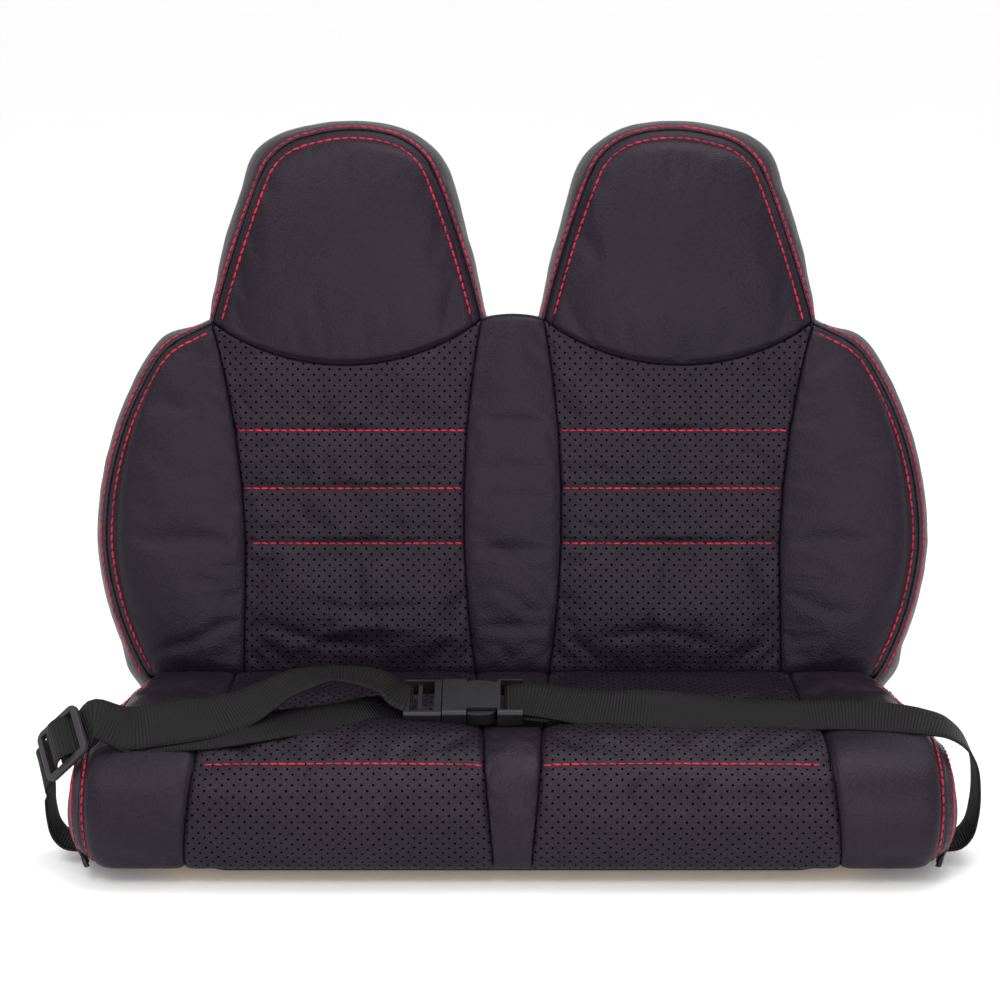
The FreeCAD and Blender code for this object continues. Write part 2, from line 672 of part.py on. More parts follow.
def webbing(stations):
    """Flat webbing through stations (centre point, width direction), as one ruled solid."""
    sections = []
    last = len(stations) - 1
    for index, (point, across) in enumerate(stations):
        ahead = stations[min(index + 1, last)][0] - stations[max(index - 1, 0)][0]
        ahead.normalize()
        across = (across - ahead * across.dot(ahead)).normalize()
        normal = ahead.cross(across).normalize()
        side, lift = across * (dim("web_width") / 2), normal * (dim("web_thick") / 2)
        corners = [point + side + lift, point - side + lift, point - side - lift, point + side - lift]
        sections.append(Part.makePolygon(corners + corners[:1]))
    return Part.makeLoft(sections, True, True)


def web_ring(centre, along, inner):
    """Webbing turned once round a bar."""
    start = centre - along * (dim("web_width") / 2)
    outer = Part.makeCylinder(inner + dim("web_thick"), dim("web_width"), start, along)
    return outer.cut(Part.makeCylinder(inner, dim("web_width"), start, along))


def hanging_end(sign, high):
    """Stations of the webbing down the seat's side to its anchor under the board."""
    across = Vector(0, -1, 0)
    route = high + [(297, -75, 50), (296.5, -74.5, 34), (293.5, -74, 20), (287, -74, 12.8), (277, -74, 10.9),
                    (255, -74, 10.9), (dim("anchor_x") - 9, dim("anchor_y"), 10.9)]
    return [(Vector(sign * x, y, z), across) for x, y, z in route]


RIGHT_ROUTE = [((8, -47, 98.6), 22), ((25, -50.5, 98), 25), ((57, -59, 96), 32), ((89, -66, 97.8), 38),
               ((121, -68, 96), 31), ((154, -66, 94), 22), ((187, -61, 92.6), 18), ((219, -62, 92.8), 18),
               ((245, -66, 92.3), 17), ((262, -70, 91.4), 13), ((277, -74, 88.5), 8), ((288, -76, 80.5), 4)]
UPPER_ROUTE = [((-72.5, -46.7, 99.8), 18), ((-76.5, -45, 102.6), 14), ((-81, -43, 106.4), 11),
               ((-93, -39.5, 110.5), 7), ((-119, -40, 113.8), 0), ((-140, -50, 112), 12),
               ((-158, -60, 105.5), 21), ((-173, -70, 100.3), 29), ((-190, -80, 98.2), 35),
               ((-207, -86, 97.4), 41), ((-224, -90, 96.6), 44), ((-243, -92, 95.2), 42)]
LOWER_ROUTE = [((-72.5, -45.6, 93), 16), ((-79, -49, 92), 17), ((-96, -61, 92.9), 20),
               ((-121, -69, 92.6), 16), ((-145, -75, 92.2), 14), ((-165, -82, 91.6), 17),
               ((-190, -87, 90.4), 23), ((-212, -89, 90.2), 26), ((-240, -90.5, 90), 29)]


def strap_right():
    """Right-hand webbing: sewn round the socket's bar, across the seat and down to its anchor."""
    centre = BUCKLE.multVec(Vector(30, 0, 0))
    along = BUCKLE.Rotation.multVec(Vector(0, 1, 0))
    inner = dim("bar_rad") + dim("loop_gap")
    ring = web_ring(centre, along, inner)
    first = (centre + Vector(inner + dim("web_thick") / 2, 0, 0), tilted(dim("buckle_tilt")))
    stations = [first] + [(Vector(*point), tilted(tilt)) for point, tilt in RIGHT_ROUTE]
    stations += hanging_end(1, [(294.5, -76, 68)])
    hole = Part.makeCylinder(dim("anchor_hole_rad"), 20, Vector(dim("anchor_x"), dim("anchor_y"), 0))
    feature("belt_strap_right", ring.fuse(webbing(stations)).cut(hole))


GLIDE_ACROSS = Vector(0.326, -0.802, -0.5005).normalize()
GLIDE_DOWN = Vector(-0.705, 0.146, -0.694).normalize()
GLIDE_FACE = GLIDE_DOWN.cross(GLIDE_ACROSS).normalize()
GLIDE_CENTRE = Vector(dim("glide_x"), dim("glide_y"), dim("glide_z"))


def glide_point(up, lift):
    """A point on the middle line of the tri-glide: up towards the seat, lift out of its face."""
    return GLIDE_CENTRE - GLIDE_DOWN * up + GLIDE_FACE * lift


def strap_left():
    """Left-hand webbing: anchor, tri-glide, plug bar and back to the tri-glide's centre bar."""
    over, under = 5.2, -3.5
    threaded = [(-26, -4.6), (-14.8, under), (-3.8, over), (3.8, over), (14.8, under), (27, -3.8)]
    main = hanging_end(-1, [])[::-1]
    main += [(glide_point(up, lift), GLIDE_ACROSS) for up, lift in threaded]
    main += [(Vector(*point), tilted(tilt)) for point, tilt in reversed(UPPER_ROUTE)]
    centre = BUCKLE.multVec(Vector(-36, 0, 0))
    along = BUCKLE.Rotation.multVec(Vector(0, 1, 0))
    inner = dim("bar_rad") + dim("loop_gap")
    middle = inner + dim("web_thick") / 2
    top = BUCKLE.multVec(Vector(-36, 0, middle))
    main.append((top, tilted(dim("buckle_tilt"))))
    low = BUCKLE.multVec(Vector(-36, 0, -middle))
    back = [(low, tilted(dim("buckle_tilt")))]
    back += [(Vector(*point), tilted(tilt)) for point, tilt in LOWER_ROUTE]
    back += [(glide_point(27, -7), GLIDE_ACROSS), (glide_point(14, -5.5), GLIDE_ACROSS),
             (glide_point(0, -middle), GLIDE_ACROSS)]
    hole = Part.makeCylinder(dim("anchor_hole_rad"), 20, Vector(-dim("anchor_x"), dim("anchor_y"), 0))
    shape = web_ring(centre, along, inner).fuse([webbing(main), webbing(back),
                                                 web_ring(GLIDE_CENTRE, GLIDE_ACROSS, inner)])
    feature("belt_strap_left", shape.cut(hole))


def box(x0, x1, y0, y1, z0, z1):
    """A box between two corners."""
    return Part.makeBox(x1 - x0, y1 - y0, z1 - z0, Vector(x0, y0, z0))


def across_bar(x, radius, half):
    """A round bar across the buckle."""
    return Part.makeCylinder(radius, 2 * half, Vector(x, -half, 0), Vector(0, 1, 0))


def softened(shape, radius, axis_test):
    """Fillet the edges that pass the test."""
    chosen = [edge for edge in shape.Edges if axis_test(edge)]
    return shape.makeFillet(radius, chosen)


def runs_along_x(edge):
    """True for a straight edge along the buckle."""
    ends = [vertex.Point for vertex in edge.Vertexes]
    return len(ends) == 2 and abs(ends[0].y - ends[1].y) < 0.01 and abs(ends[0].z - ends[1].z) < 0.01


def buckle_plug():
    """Male half of the buckle: ladder frame for the webbing, shoulder and guide tongue."""
    half, rail, tall = dim("buckle_half"), dim("buckle_rail"), dim("plug_thick") / 2
    frame = softened(box(-38, -14, -half, half, -tall, tall), 2, runs_along_x)
    inner = half - rail
    frame = frame.cut(box(-39, -18.5, -inner, inner, -tall, tall))
    frame = frame.fuse([across_bar(-36, dim("bar_rad"), inner + 1),
                        box(-29, -26.5, -inner - 1, inner + 1, -2.5, 2.5)])
    tongue = box(-15, 14, -3, 3, -1.6, 1.6)
    feature("buckle_plug", frame.fuse(tongue).removeSplitter(), BUCKLE)


def buckle_prong(name, sign):
    """Side prong of the plug, with the rounded button that is squeezed to let go."""
    root = Part.makeCylinder(1.5, 6, Vector(-12.2, -13.5, -3))
    arm = box(-12.2, 5, -15, -12, -3, 3)
    tall = 3.7
    head = [((3, -12), None), ((3, -18.6), (8, -19.7)), ((14, -19.4), (19, -17.8)), ((21.5, -14.5), None),
            ((21.5, -12.6), None)]
    button = prism(head, lambda x, y: Vector(x, y, -tall), Vector(0, 0, 2 * tall))
    shape = root.fuse([arm, button]).removeSplitter()
    if sign > 0:
        shape = shape.mirror(Vector(0, 0, 0), Vector(0, 1, 0))
    feature(name, shape, BUCKLE)


def buckle_socket():
    """Female half of the buckle: open throat, side windows and the fixed webbing bar."""
    half, rail, tall = dim("buckle_half"), dim("buckle_rail"), dim("socket_thick") / 2
    body = softened(box(-13.2, 38.5, -half, half, -tall, tall), 2.5, runs_along_x)
    body = body.cut(box(-14, 22.2, -17.6, 17.6, -4.1, 4.1))
    inner = half - rail
    body = body.cut(box(24.2, 40, -inner, inner, -tall, tall))
    for sign in (1, -1):
        low, high = (14.4, half + 1) if sign > 0 else (-half - 1, -14.4)
        window = box(2.3, 22.4, low, high, -tall, tall)
        body = body.cut(window)
    body = body.fuse(across_bar(30, dim("bar_rad"), inner + 1))
    feature("buckle_socket", body.removeSplitter(), BUCKLE)


def tri_glide():
    """Strap adjuster: rounded frame with a centre bar and two slots."""
    long_half, wide_half = dim("glide_long") / 2, dim("glide_wide") / 2
    thick, rim = dim("glide_thick"), dim("glide_frame")
    plate = prism(rounded_box(long_half, wide_half, 6), lambda x, y: Vector(x, y, -thick / 2),
                  Vector(0, 0, thick))
    flat = [edge for edge in plate.Edges if abs(abs(edge.CenterOfMass.z) - thick / 2) < 0.01]
    plate = plate.makeFillet(1.2, flat)
    slot_half = wide_half - rim
    for sign in (1, -1):
        low, high = sorted((sign * 1.0, sign * (long_half - rim)))
        plate = plate.cut(box(low, high, -slot_half, slot_half, -thick, thick))
    plate = plate.cut(box(-2, 2, -slot_half, slot_half, -thick, thick))
    rod = Part.makeCylinder(dim("bar_rad"), 2 * slot_half + 2, Vector(0, -slot_half - 1, 0), Vector(0, 1, 0))
    turn = Rotation(GLIDE_DOWN * -1, GLIDE_ACROSS * -1, GLIDE_FACE, "XYZ")
    feature("tri_glide", plate.fuse(rod).removeSplitter(), Placement(GLIDE_CENTRE, turn))


def belt_anchors():
    """Screws and washers that hold the webbing ends to the seat board."""
    web_low = dim("seat_board_bottom") - dim("web_thick") - 0.4
    washer_low = web_low - 0.1 - dim("washer_thick")
    washers, screws = [], []
    one = screw(dim("anchor_head_rad"), dim("anchor_head_tall"), 2.4, 10)
    for sign in (1, -1):
        place = Vector(sign * dim("anchor_x"), dim("anchor_y"), washer_low)
        disc = Part.makeCylinder(dim("washer_rad"), dim("washer_thick"), place)
        washers.append(disc.cut(Part.makeCylinder(dim("anchor_hole_rad"), 5, place - Vector(0, 0, 1))))
        screws.append(placed(one, place, Vector(0, 0, -1)))
    feature("belt_anchor_washers", Part.makeCompound(washers))
    feature("belt_anchor_screws", Part.makeCompound(screws))


base_tray()
tray_screws()
seat_board()
tee_nuts()
back_board()
for bracket_hand, bracket_sign in (("right", 1), ("left", -1)):
    corner_bracket(bracket_hand, bracket_sign)
bracket_bolts()
bracket_screws()
rear_cover()
rear_cover_screws()
listing_rod()
cover_staples()
back_foams()
back_covers()
back_gussets()
seat_pieces()
strap_right()
strap_left()
buckle_plug()
buckle_prong("buckle_prong_front", -1)
buckle_prong("buckle_prong_rear", 1)
buckle_socket()
tri_glide()
belt_anchors()

doc.recompute()
for item in doc.Objects:
    if "Invalid" in item.State or "Error" in item.State:
        raise SystemExit("failed: " + item.Label)
for item in pieces:
    if item.Shape.isNull() or not item.Shape.isValid():
        raise SystemExit("bad shape: " + item.Label)
for item in pieces:
    item.Shape.exportStep(os.path.join("parts", item.Label + ".step"))
    print("%-30s solids %3d  volume %10.1f" % (item.Label, len(item.Shape.Solids), item.Shape.Volume))
print("sub-parts", len(pieces))
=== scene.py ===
"""Upholstery, stitching, lap belt and finishes of a twin bench seat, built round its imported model."""

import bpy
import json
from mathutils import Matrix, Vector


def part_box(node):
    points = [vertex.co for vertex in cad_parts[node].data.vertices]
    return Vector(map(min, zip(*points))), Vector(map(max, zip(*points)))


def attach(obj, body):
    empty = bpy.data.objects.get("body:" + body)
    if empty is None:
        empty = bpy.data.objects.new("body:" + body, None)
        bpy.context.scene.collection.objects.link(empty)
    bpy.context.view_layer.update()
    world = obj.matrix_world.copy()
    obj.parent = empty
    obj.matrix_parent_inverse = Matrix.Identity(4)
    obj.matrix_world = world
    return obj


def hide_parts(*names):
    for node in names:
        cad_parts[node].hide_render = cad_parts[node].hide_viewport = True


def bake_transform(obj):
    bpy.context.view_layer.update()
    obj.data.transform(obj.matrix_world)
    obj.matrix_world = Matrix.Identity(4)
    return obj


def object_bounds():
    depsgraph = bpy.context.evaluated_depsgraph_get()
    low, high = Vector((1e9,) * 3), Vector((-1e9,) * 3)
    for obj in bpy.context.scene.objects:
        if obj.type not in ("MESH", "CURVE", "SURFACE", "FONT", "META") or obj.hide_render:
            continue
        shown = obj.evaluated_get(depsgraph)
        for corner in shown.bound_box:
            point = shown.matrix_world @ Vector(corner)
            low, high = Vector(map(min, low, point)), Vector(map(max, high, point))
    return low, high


bl_info = {
    "name": "Twin bench seat",
    "version": (1, 0, 0),
    "blender": (4, 5, 0),
    "location": "3D View > Sidebar > Seat",
    "description": "Sewn covers, stitching, webbing and finishes of a twin bench seat",
    "category": "Object",
}

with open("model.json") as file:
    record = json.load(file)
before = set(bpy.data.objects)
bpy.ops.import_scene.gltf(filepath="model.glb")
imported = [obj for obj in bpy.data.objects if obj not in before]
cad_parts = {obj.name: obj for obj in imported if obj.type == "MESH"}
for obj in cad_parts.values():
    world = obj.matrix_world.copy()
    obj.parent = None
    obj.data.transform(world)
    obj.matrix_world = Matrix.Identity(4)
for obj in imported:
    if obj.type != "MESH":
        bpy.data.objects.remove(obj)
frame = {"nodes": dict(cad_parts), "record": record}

import json
import math
import random
from functools import partial

import bmesh
import bpy
from bpy.props import FloatProperty, PointerProperty, StringProperty
from mathutils import Matrix, Vector, noise
from mathutils.bvhtree import BVHTree

CAD_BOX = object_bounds()
CAD = frame["nodes"]
MM = 0.001
BODY = "seat"
LEAN = math.radians(12)
HANDS = (("right", 1), ("left", -1))

# The steel rod in the crease places the leaning front plane of the back, which starts at the crease:
# the rod lies so far down the slope from the crease and so far behind the plane, in millimetres.
ROD_LOW, ROD_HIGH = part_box("listing_rod")
ROD_DOWN, ROD_BEHIND = 40, 1.8
ROD_Y, ROD_Z = ((ROD_LOW[k] + ROD_HIGH[k]) / 2 / MM for k in (1, 2))
CREASE_Y = ROD_Y + ROD_DOWN * math.sin(LEAN) - ROD_BEHIND * math.cos(LEAN)
CREASE_Z = ROD_Z + ROD_DOWN * math.cos(LEAN) + ROD_BEHIND * math.sin(LEAN)


# ---------------------------------------------------------------- settings

class LeatherSettings(bpy.types.PropertyGroup):
    """Artificial leather of the covers."""
    colour: StringProperty(name="Colour", description="Leather colour as sRGB hex", default="17111a")
    grain: FloatProperty(name="Grain", description="Width of one pebble of the grain", default=0.0011,
                         unit="LENGTH")
    hole_pitch: FloatProperty(name="Hole pitch", description="Spacing of perforations in a row",
                              default=0.0072, unit="LENGTH")
    hole_rows: FloatProperty(name="Hole rows", description="Distance between two like rows", default=0.0075,
                             unit="LENGTH")
    hole_width: FloatProperty(name="Hole width", description="Diameter of a perforation", default=0.0015,
                              unit="LENGTH")
    pressure: FloatProperty(name="Padding pressure", description="How hard the padding swells the covers",
                            default=3.0)


class StitchSettings(bpy.types.PropertyGroup):
    """Topstitching along the seams."""
    colour: StringProperty(name="Colour", description="Thread colour as sRGB hex", default="a01226")
    pitch: FloatProperty(name="Pitch", description="Distance from stitch to stitch", default=0.0058,
                         unit="LENGTH")
    length: FloatProperty(name="Stitch length", description="Length of thread that shows", default=0.0054,
                          unit="LENGTH")
    width: FloatProperty(name="Thread width", description="Thickness of the thread", default=0.0017,
                         unit="LENGTH")


class BeltSettings(bpy.types.PropertyGroup):
    """Webbing, buckle and adjuster of the lap belt."""
    webbing_colour: StringProperty(name="Webbing", description="Webbing colour as sRGB hex", default="0d0a0b")
    rib: FloatProperty(name="Rib pitch", description="Spacing of the cross ribs", default=0.0021,
                       unit="LENGTH")
    width: FloatProperty(name="Width", description="Webbing width", default=0.030, unit="LENGTH")
    thickness: FloatProperty(name="Thickness", description="Webbing thickness", default=0.0014, unit="LENGTH")
    buckle_colour: StringProperty(name="Buckle", description="Buckle colour as sRGB hex", default="111013")
    glide_colour: StringProperty(name="Adjuster", description="Adjuster colour as sRGB hex", default="241f25")


class StageSettings(bpy.types.PropertyGroup):
    """Camera, floor and light."""
    floor_colour: StringProperty(name="Floor", description="Floor colour as sRGB hex", default="fefefe")
    distance: FloatProperty(name="Distance", description="Camera to the middle of the back", default=1.69,
                            unit="LENGTH")
    elevation: FloatProperty(name="Elevation", description="Camera above the horizontal", subtype="ANGLE",
                             default=math.radians(14.5))
    lens: FloatProperty(name="Lens", description="Focal length in millimetres", default=88.2)
    shift: FloatProperty(name="Shift", description="Sideways shift of the framing", default=-0.0125)


# ---------------------------------------------------------------- materials

def linear(code):
    """A hex sRGB colour as linear RGBA."""
    parts = [int(code[k:k + 2], 16) / 255 for k in (0, 2, 4)]
    return tuple(c / 12.92 if c <= 0.04045 else ((c + 0.055) / 1.055) ** 2.4 for c in parts) + (1.0,)


def add(tree, kind, inputs=(), **settings):
    """Add a node: settings are its properties, inputs are pairs of socket and value or link."""
    made = tree.nodes.new(kind)
    for name, value in settings.items():
        setattr(made, name, value)
    for key, value in dict(inputs).items():
        if isinstance(value, bpy.types.NodeSocket):
            tree.links.new(value, made.inputs[key])
        else:
            made.inputs[key].default_value = value
    return made


def new_material(name, **surface):
    """A material with one Principled shader; returns the material, its tree and the shader."""
    material = bpy.data.materials.get(name) or bpy.data.materials.new(name)
    material.use_nodes = True
    tree = material.node_tree
    tree.nodes.clear()
    shader = add(tree, "ShaderNodeBsdfPrincipled", surface)
    add(tree, "ShaderNodeOutputMaterial", {"Surface": shader.outputs[0]})
    return material, tree, shader


def mix_colour(tree, factor, first, second):
    """A blend of two colours."""
    return add(tree, "ShaderNodeMix", {0: factor, 6: first, 7: second}, data_type="RGBA").outputs[2]


def tinted(base, share):
    """A linear colour made darker or lighter by a share, no lighter than white."""
    return tuple(min(1.0, c * share) for c in base[:3]) + (1.0,)


def within(tree):
    """Place inside the piece, in metres."""
    return add(tree, "ShaderNodeTexCoord").outputs["Object"]


def noise_at(tree, place, scale, detail, **more):
    """Cloudy noise, of so many clouds to a metre."""
    inputs = {"Vector": place, "Scale": scale, "Detail": detail, **more}
    return add(tree, "ShaderNodeTexNoise", inputs).outputs[0]


def spread(tree, value, low, high, start=0.0, end=1.0, **settings):
    """A value between low and high, stretched to run from start to end."""
    inputs = {0: value, 1: low, 2: high, 3: start, 4: end}
    return add(tree, "ShaderNodeMapRange", inputs, **settings).outputs[0]


def combine(tree, operation, first, second):
    """Two values put together by arithmetic."""
    return add(tree, "ShaderNodeMath", {0: first, 1: second}, operation=operation).outputs[0]


def emboss(tree, height, strength, depth):
    """The surface's normal, bumped by a height; depth in metres."""
    inputs = {"Height": height, "Strength": strength, "Distance": depth}
    return add(tree, "ShaderNodeBump", inputs).outputs[0]


def wire(tree, shader, links):
    """Join values to the shader's inputs by name."""
    for name, value in links.items():
        tree.links.new(value, shader.inputs[name])


def leather(name, perforated=False, gloss_level=0.17):
    """PVC leather, embossed with a fine pebble grain: satin sheen, soft broken highlights."""
    settings = bpy.context.scene.seat_leather
    base = linear(settings.colour)
    material, tree, shader = new_material(name, **{"IOR": 1.5, "Specular Tint": (1.0, 0.86, 1.0, 1.0)})
    place = within(tree)
    grain = {"Vector": place, "Scale": 1 / settings.grain, "Randomness": 1.0}
    pebbles = add(tree, "ShaderNodeTexVoronoi", grain, feature="SMOOTH_F1").outputs["Distance"]
    wrinkles = noise_at(tree, place, 420.0, 4.0, Roughness=0.6)
    shade = spread(tree, noise_at(tree, place, 14.0, 3.0), 0.3, 0.7)
    colour = mix_colour(tree, shade, tinted(base, 0.84), tinted(base, 1.16))
    glint = spread(tree, wrinkles, 0.32, 0.68, gloss_level * 0.85, gloss_level * 1.2)
    gloss = spread(tree, wrinkles, 0.3, 0.7, 0.36, 0.52)
    bump = emboss(tree, combine(tree, "ADD", pebbles, wrinkles), 0.7, 0.0004)
    if perforated:
        hole = perforation(tree, settings)
        # Painted shade: each hole, which is only a bump in the leather, is painted near black for the shade
        # inside it.
        colour = mix_colour(tree, hole, colour, (0.001, 0.001, 0.001, 1.0))
        glint = combine(tree, "MULTIPLY", glint, combine(tree, "SUBTRACT", 1.0, hole))
        punched = {"Height": hole, "Strength": 0.9, "Distance": 0.0009, "Normal": bump}
        bump = add(tree, "ShaderNodeBump", punched, invert=True).outputs[0]
    wire(tree, shader, {"Base Color": colour, "Specular IOR Level": glint, "Roughness": gloss,
                        "Normal": bump})
    return material


def perforation(tree, settings):
    """Mask of the punched holes: two square lattices, the second moved by half a cell both ways."""
    surface = add(tree, "ShaderNodeUVMap", uv_map="flat").outputs[0]
    half = (settings.hole_pitch / 2, settings.hole_rows / 2, 1.0)
    reach = []
    for step in ((0.0, 0.0, 0.0), half):
        place = surface
        for operation, inputs in (("ADD", {1: step}), ("WRAP", {1: half, 2: tuple(-c for c in half)}),
                                  ("MULTIPLY", {1: (1.0, 1.0, 0.0)})):
            place = add(tree, "ShaderNodeVectorMath", {0: place, **inputs}, operation=operation).outputs[0]
        reach.append(add(tree, "ShaderNodeVectorMath", {0: place}, operation="LENGTH").outputs["Value"])
    radius = settings.hole_width / 2
    return spread(tree, combine(tree, "MINIMUM", *reach), radius * 0.8, radius * 1.2, 1.0, 0.0,
                  interpolation_type="SMOOTHSTEP")


def thread(name, colour):
    """Bonded polyester sewing thread: three plies twisted together, slightly glossy."""
    material, tree, shader = new_material(name, **{"Roughness": 0.5, "Specular IOR Level": 0.25})
    place = within(tree)
    fuzz = noise_at(tree, place, 900.0, 2.0)
    patch = spread(tree, noise_at(tree, place, 60.0, 2.0), 0.35, 0.65)
    base = linear(colour)
    tone = mix_colour(tree, patch, tinted(base, 0.55), tinted(base, 1.25))
    wire(tree, shader, {"Base Color": tone, "Normal": emboss(tree, fuzz, 0.5, 0.0003)})
    return material


WARP_PITCH = 0.0011
ONE_BAND = 0.3142


def webbing_material():
    """Woven polypropylene webbing: cross ribs over lengthways warp threads, dull with a faint sheen, and a
    painted highlight in random flecks on the raised tops of the weave.
    """
    settings = bpy.context.scene.seat_belt
    material, tree, shader = new_material("webbing_weave", **{"Roughness": 0.62, "Specular IOR Level": 0.22})
    surface = add(tree, "ShaderNodeUVMap", uv_map="flat").outputs[0]
    bands = []
    for axis, pitch, uneven in (("X", settings.rib, {"Distortion": 0.25, "Detail": 1.0}),
                                ("Y", WARP_PITCH, {})):
        scale = tuple(1 / pitch if way == axis else 0.0 for way in "XYZ")
        place = add(tree, "ShaderNodeMapping", {"Vector": surface, "Scale": scale}).outputs[0]
        wave = {"Vector": place, "Scale": ONE_BAND, **uneven}
        bands.append(add(tree, "ShaderNodeTexWave", wave, wave_type="BANDS",
                         bands_direction=axis).outputs["Fac"])
    ribs, warp = bands
    weave = combine(tree, "MULTIPLY", ribs, warp)
    # Painted highlight: random flecks on the raised crossings of the weave colour the webbing lighter there,
    # and also lift its bump.
    raised_flecks_and_highlight = combine(tree, "MULTIPLY", weave, noise_at(tree, surface, 1600.0, 2.0))
    base = linear(settings.webbing_colour)
    tone = mix_colour(tree, raised_flecks_and_highlight, tinted(base, 0.45), tinted(base, 3.4))
    rise = combine(tree, "ADD", ribs, raised_flecks_and_highlight)
    wire(tree, shader, {"Base Color": tone, "Normal": emboss(tree, rise, 0.8, 0.0005)})
    return material


def moulding(name, colour, roughness, grain, depth):
    """Injection-moulded plastic with a spark-eroded texture: grain in metres, depth of its bump."""
    material, tree, shader = new_material(name, **{"Roughness": roughness, "Specular IOR Level": 0.32})
    place = within(tree)
    texture = noise_at(tree, place, 1 / grain, 3.0)
    smear = noise_at(tree, place, 45.0, 4.0)
    base = linear(colour)
    tone = mix_colour(tree, smear, base, tinted(base, 1.35))
    gloss = spread(tree, smear, 0.3, 0.7, roughness - 0.06, roughness + 0.08)
    wire(tree, shader, {"Base Color": tone, "Roughness": gloss, "Normal": emboss(tree, texture, 0.4, depth)})
    return material


def plywood():
    """Birch plywood, rotary cut: long pale figure with darker early wood and fine pores."""
    material, tree, shader = new_material("birch_plywood", Roughness=0.62)
    run = add(tree, "ShaderNodeMapping", {"Vector": within(tree), "Scale": (3.0, 30.0, 30.0)}).outputs[0]
    tone = mix_colour(tree, noise_at(tree, run, 3.0, 6.0), linear("b98d5c"), linear("e3c79b"))
    pores = noise_at(tree, run, 60.0, 3.0)
    wire(tree, shader, {"Base Color": tone, "Normal": emboss(tree, pores, 0.3, 0.0002)})
    return material


def zinc_steel():
    """Mild steel with a bright zinc plate: cloudy grey metal."""
    material, tree, shader = new_material("zinc_plated_steel", Metallic=1.0, Roughness=0.34)
    cloud = noise_at(tree, within(tree), 180.0, 4.0)
    tone = mix_colour(tree, cloud, linear("8f9396"), linear("c9cccf"))
    wire(tree, shader, {"Base Color": tone, "Roughness": spread(tree, cloud, 0.3, 0.7, 0.26, 0.44)})
    return material


def foam_material():
    """Open-cell polyurethane foam: cream, chalky, with small bubbles."""
    material, tree, shader = new_material("polyurethane_foam", Roughness=0.9)
    cells = add(tree, "ShaderNodeTexVoronoi", {"Vector": within(tree), "Scale": 700.0}).outputs["Distance"]
    tone = mix_colour(tree, cells, linear("e8e0c4"), linear("b9b08f"))
    wire(tree, shader, {"Base Color": tone, "Normal": emboss(tree, cells, 0.6, 0.0006)})
    return material


# ---------------------------------------------------------------- plane curves, in millimetres

def arc(start, via, end, steps=20):
    """Points on the circle through three points, from start up to but not including end."""
    (ax, ay), (bx, by), (cx, cy) = start, via, end
    turn = 2 * (ax * (by - cy) + bx * (cy - ay) + cx * (ay - by))
    if abs(turn) < 1e-6:
        return [(ax + (cx - ax) * k / steps, ay + (cy - ay) * k / steps) for k in range(steps)]
    sa, sb, sc = ax * ax + ay * ay, bx * bx + by * by, cx * cx + cy * cy
    ox = (sa * (by - cy) + sb * (cy - ay) + sc * (ay - by)) / turn
    oy = (sa * (cx - bx) + sb * (ax - cx) + sc * (bx - ax)) / turn
    first, middle, last = (math.atan2(y - oy, x - ox) for x, y in (start, via, end))
    full = 2 * math.pi
    sweep, part = (last - first) % full, (middle - first) % full
    if part > sweep:
        sweep -= full
    radius = math.hypot(ax - ox, ay - oy)
    turns = [first + sweep * k / steps for k in range(steps)]
    return [(ox + radius * math.cos(angle), oy + radius * math.sin(angle)) for angle in turns]


def trace(*points):
    """A fine line through start, via, end, via, end and so on; a via of None is a straight span."""
    line = []
    for k in range(0, len(points) - 2, 2):
        start, via, end = points[k:k + 3]
        middle = via or ((start[0] + end[0]) / 2, (start[1] + end[1]) / 2)
        line += arc(start, middle, end)
    return line + [points[-1]]


def lengths(line):
    """Distance from the start at each point of a line."""
    total, found = 0.0, [0.0]
    for one, two in zip(line, line[1:]):
        total += math.dist(one, two)
        found.append(total)
    return found


def spaced(line, fractions):
    """Points at several fractions of a line's length."""
    far = lengths(line)
    found, k = [], 0
    for fraction in fractions:
        goal = fraction * far[-1]
        while k < len(line) - 2 and far[k + 1] < goal:
            k += 1
        part = (goal - far[k]) / max(far[k + 1] - far[k], 1e-9)
        found.append(tuple(a + (b - a) * part for a, b in zip(line[k], line[k + 1])))
    return found


def shifted(line, amount):
    """A line moved to its right by amount."""
    moved = []
    for k, (x, y) in enumerate(line):
        ax, ay = line[max(k - 1, 0)]
        bx, by = line[min(k + 1, len(line) - 1)]
        size = math.hypot(bx - ax, by - ay) or 1.0
        moved.append((x + (by - ay) / size * amount, y - (bx - ax) / size * amount))
    return moved


def mirrored(line):
    """The line on the other side of the middle plane."""
    return [(-x, y) for x, y in line]


def table(pairs, where):
    """A value read smoothly from a short table of (position, value)."""
    if where <= pairs[0][0]:
        return pairs[0][1]
    for (a, low), (b, high) in zip(pairs, pairs[1:]):
        if where <= b:
            part = (where - a) / (b - a)
            return low + (high - low) * part * part * (3 - 2 * part)
    return pairs[-1][1]


# Outlines of the back: x across, v up the slope.
SHOULDER, VALLEY, WAIST, TUCK = (207, 238), (21.5, 240), (184.5, 74), -7
WING_OUTER = trace((253, TUCK), (271.5, 34), (281.7, 85), (277, 135), (247, 210), (241, 218), (232, 225.5))
WING_TOP = trace(SHOULDER, None, (232, 225.5))
WING_SIDE = trace((240, -52), None, (245, -20), (249, -13), (253, TUCK))
WING_INNER = trace((186, TUCK), None, WAIST, (191, 160), SHOULDER)
HEAD_SEAM = trace(VALLEY, (115, 209), SHOULDER)
HEAD_OUTER = trace(SHOULDER, (192, 288), (172, 343))
HEAD_TOP = trace((55, 344), (65, 357), (82, 367), (110, 371), (138, 367), (158, 359), (172, 343))
HEAD_INNER = trace(VALLEY, (38, 298), (55, 344))
MIDDLE_EDGE = trace((25, TUCK), (31, 45), (33.5, 110), (30.5, 175), VALLEY)
VALLEY_TOP = trace((-VALLEY[0], VALLEY[1]), (0, 243), VALLEY)
CHANNELS = (164, 124, 86)


# ---------------------------------------------------------------- surfaces

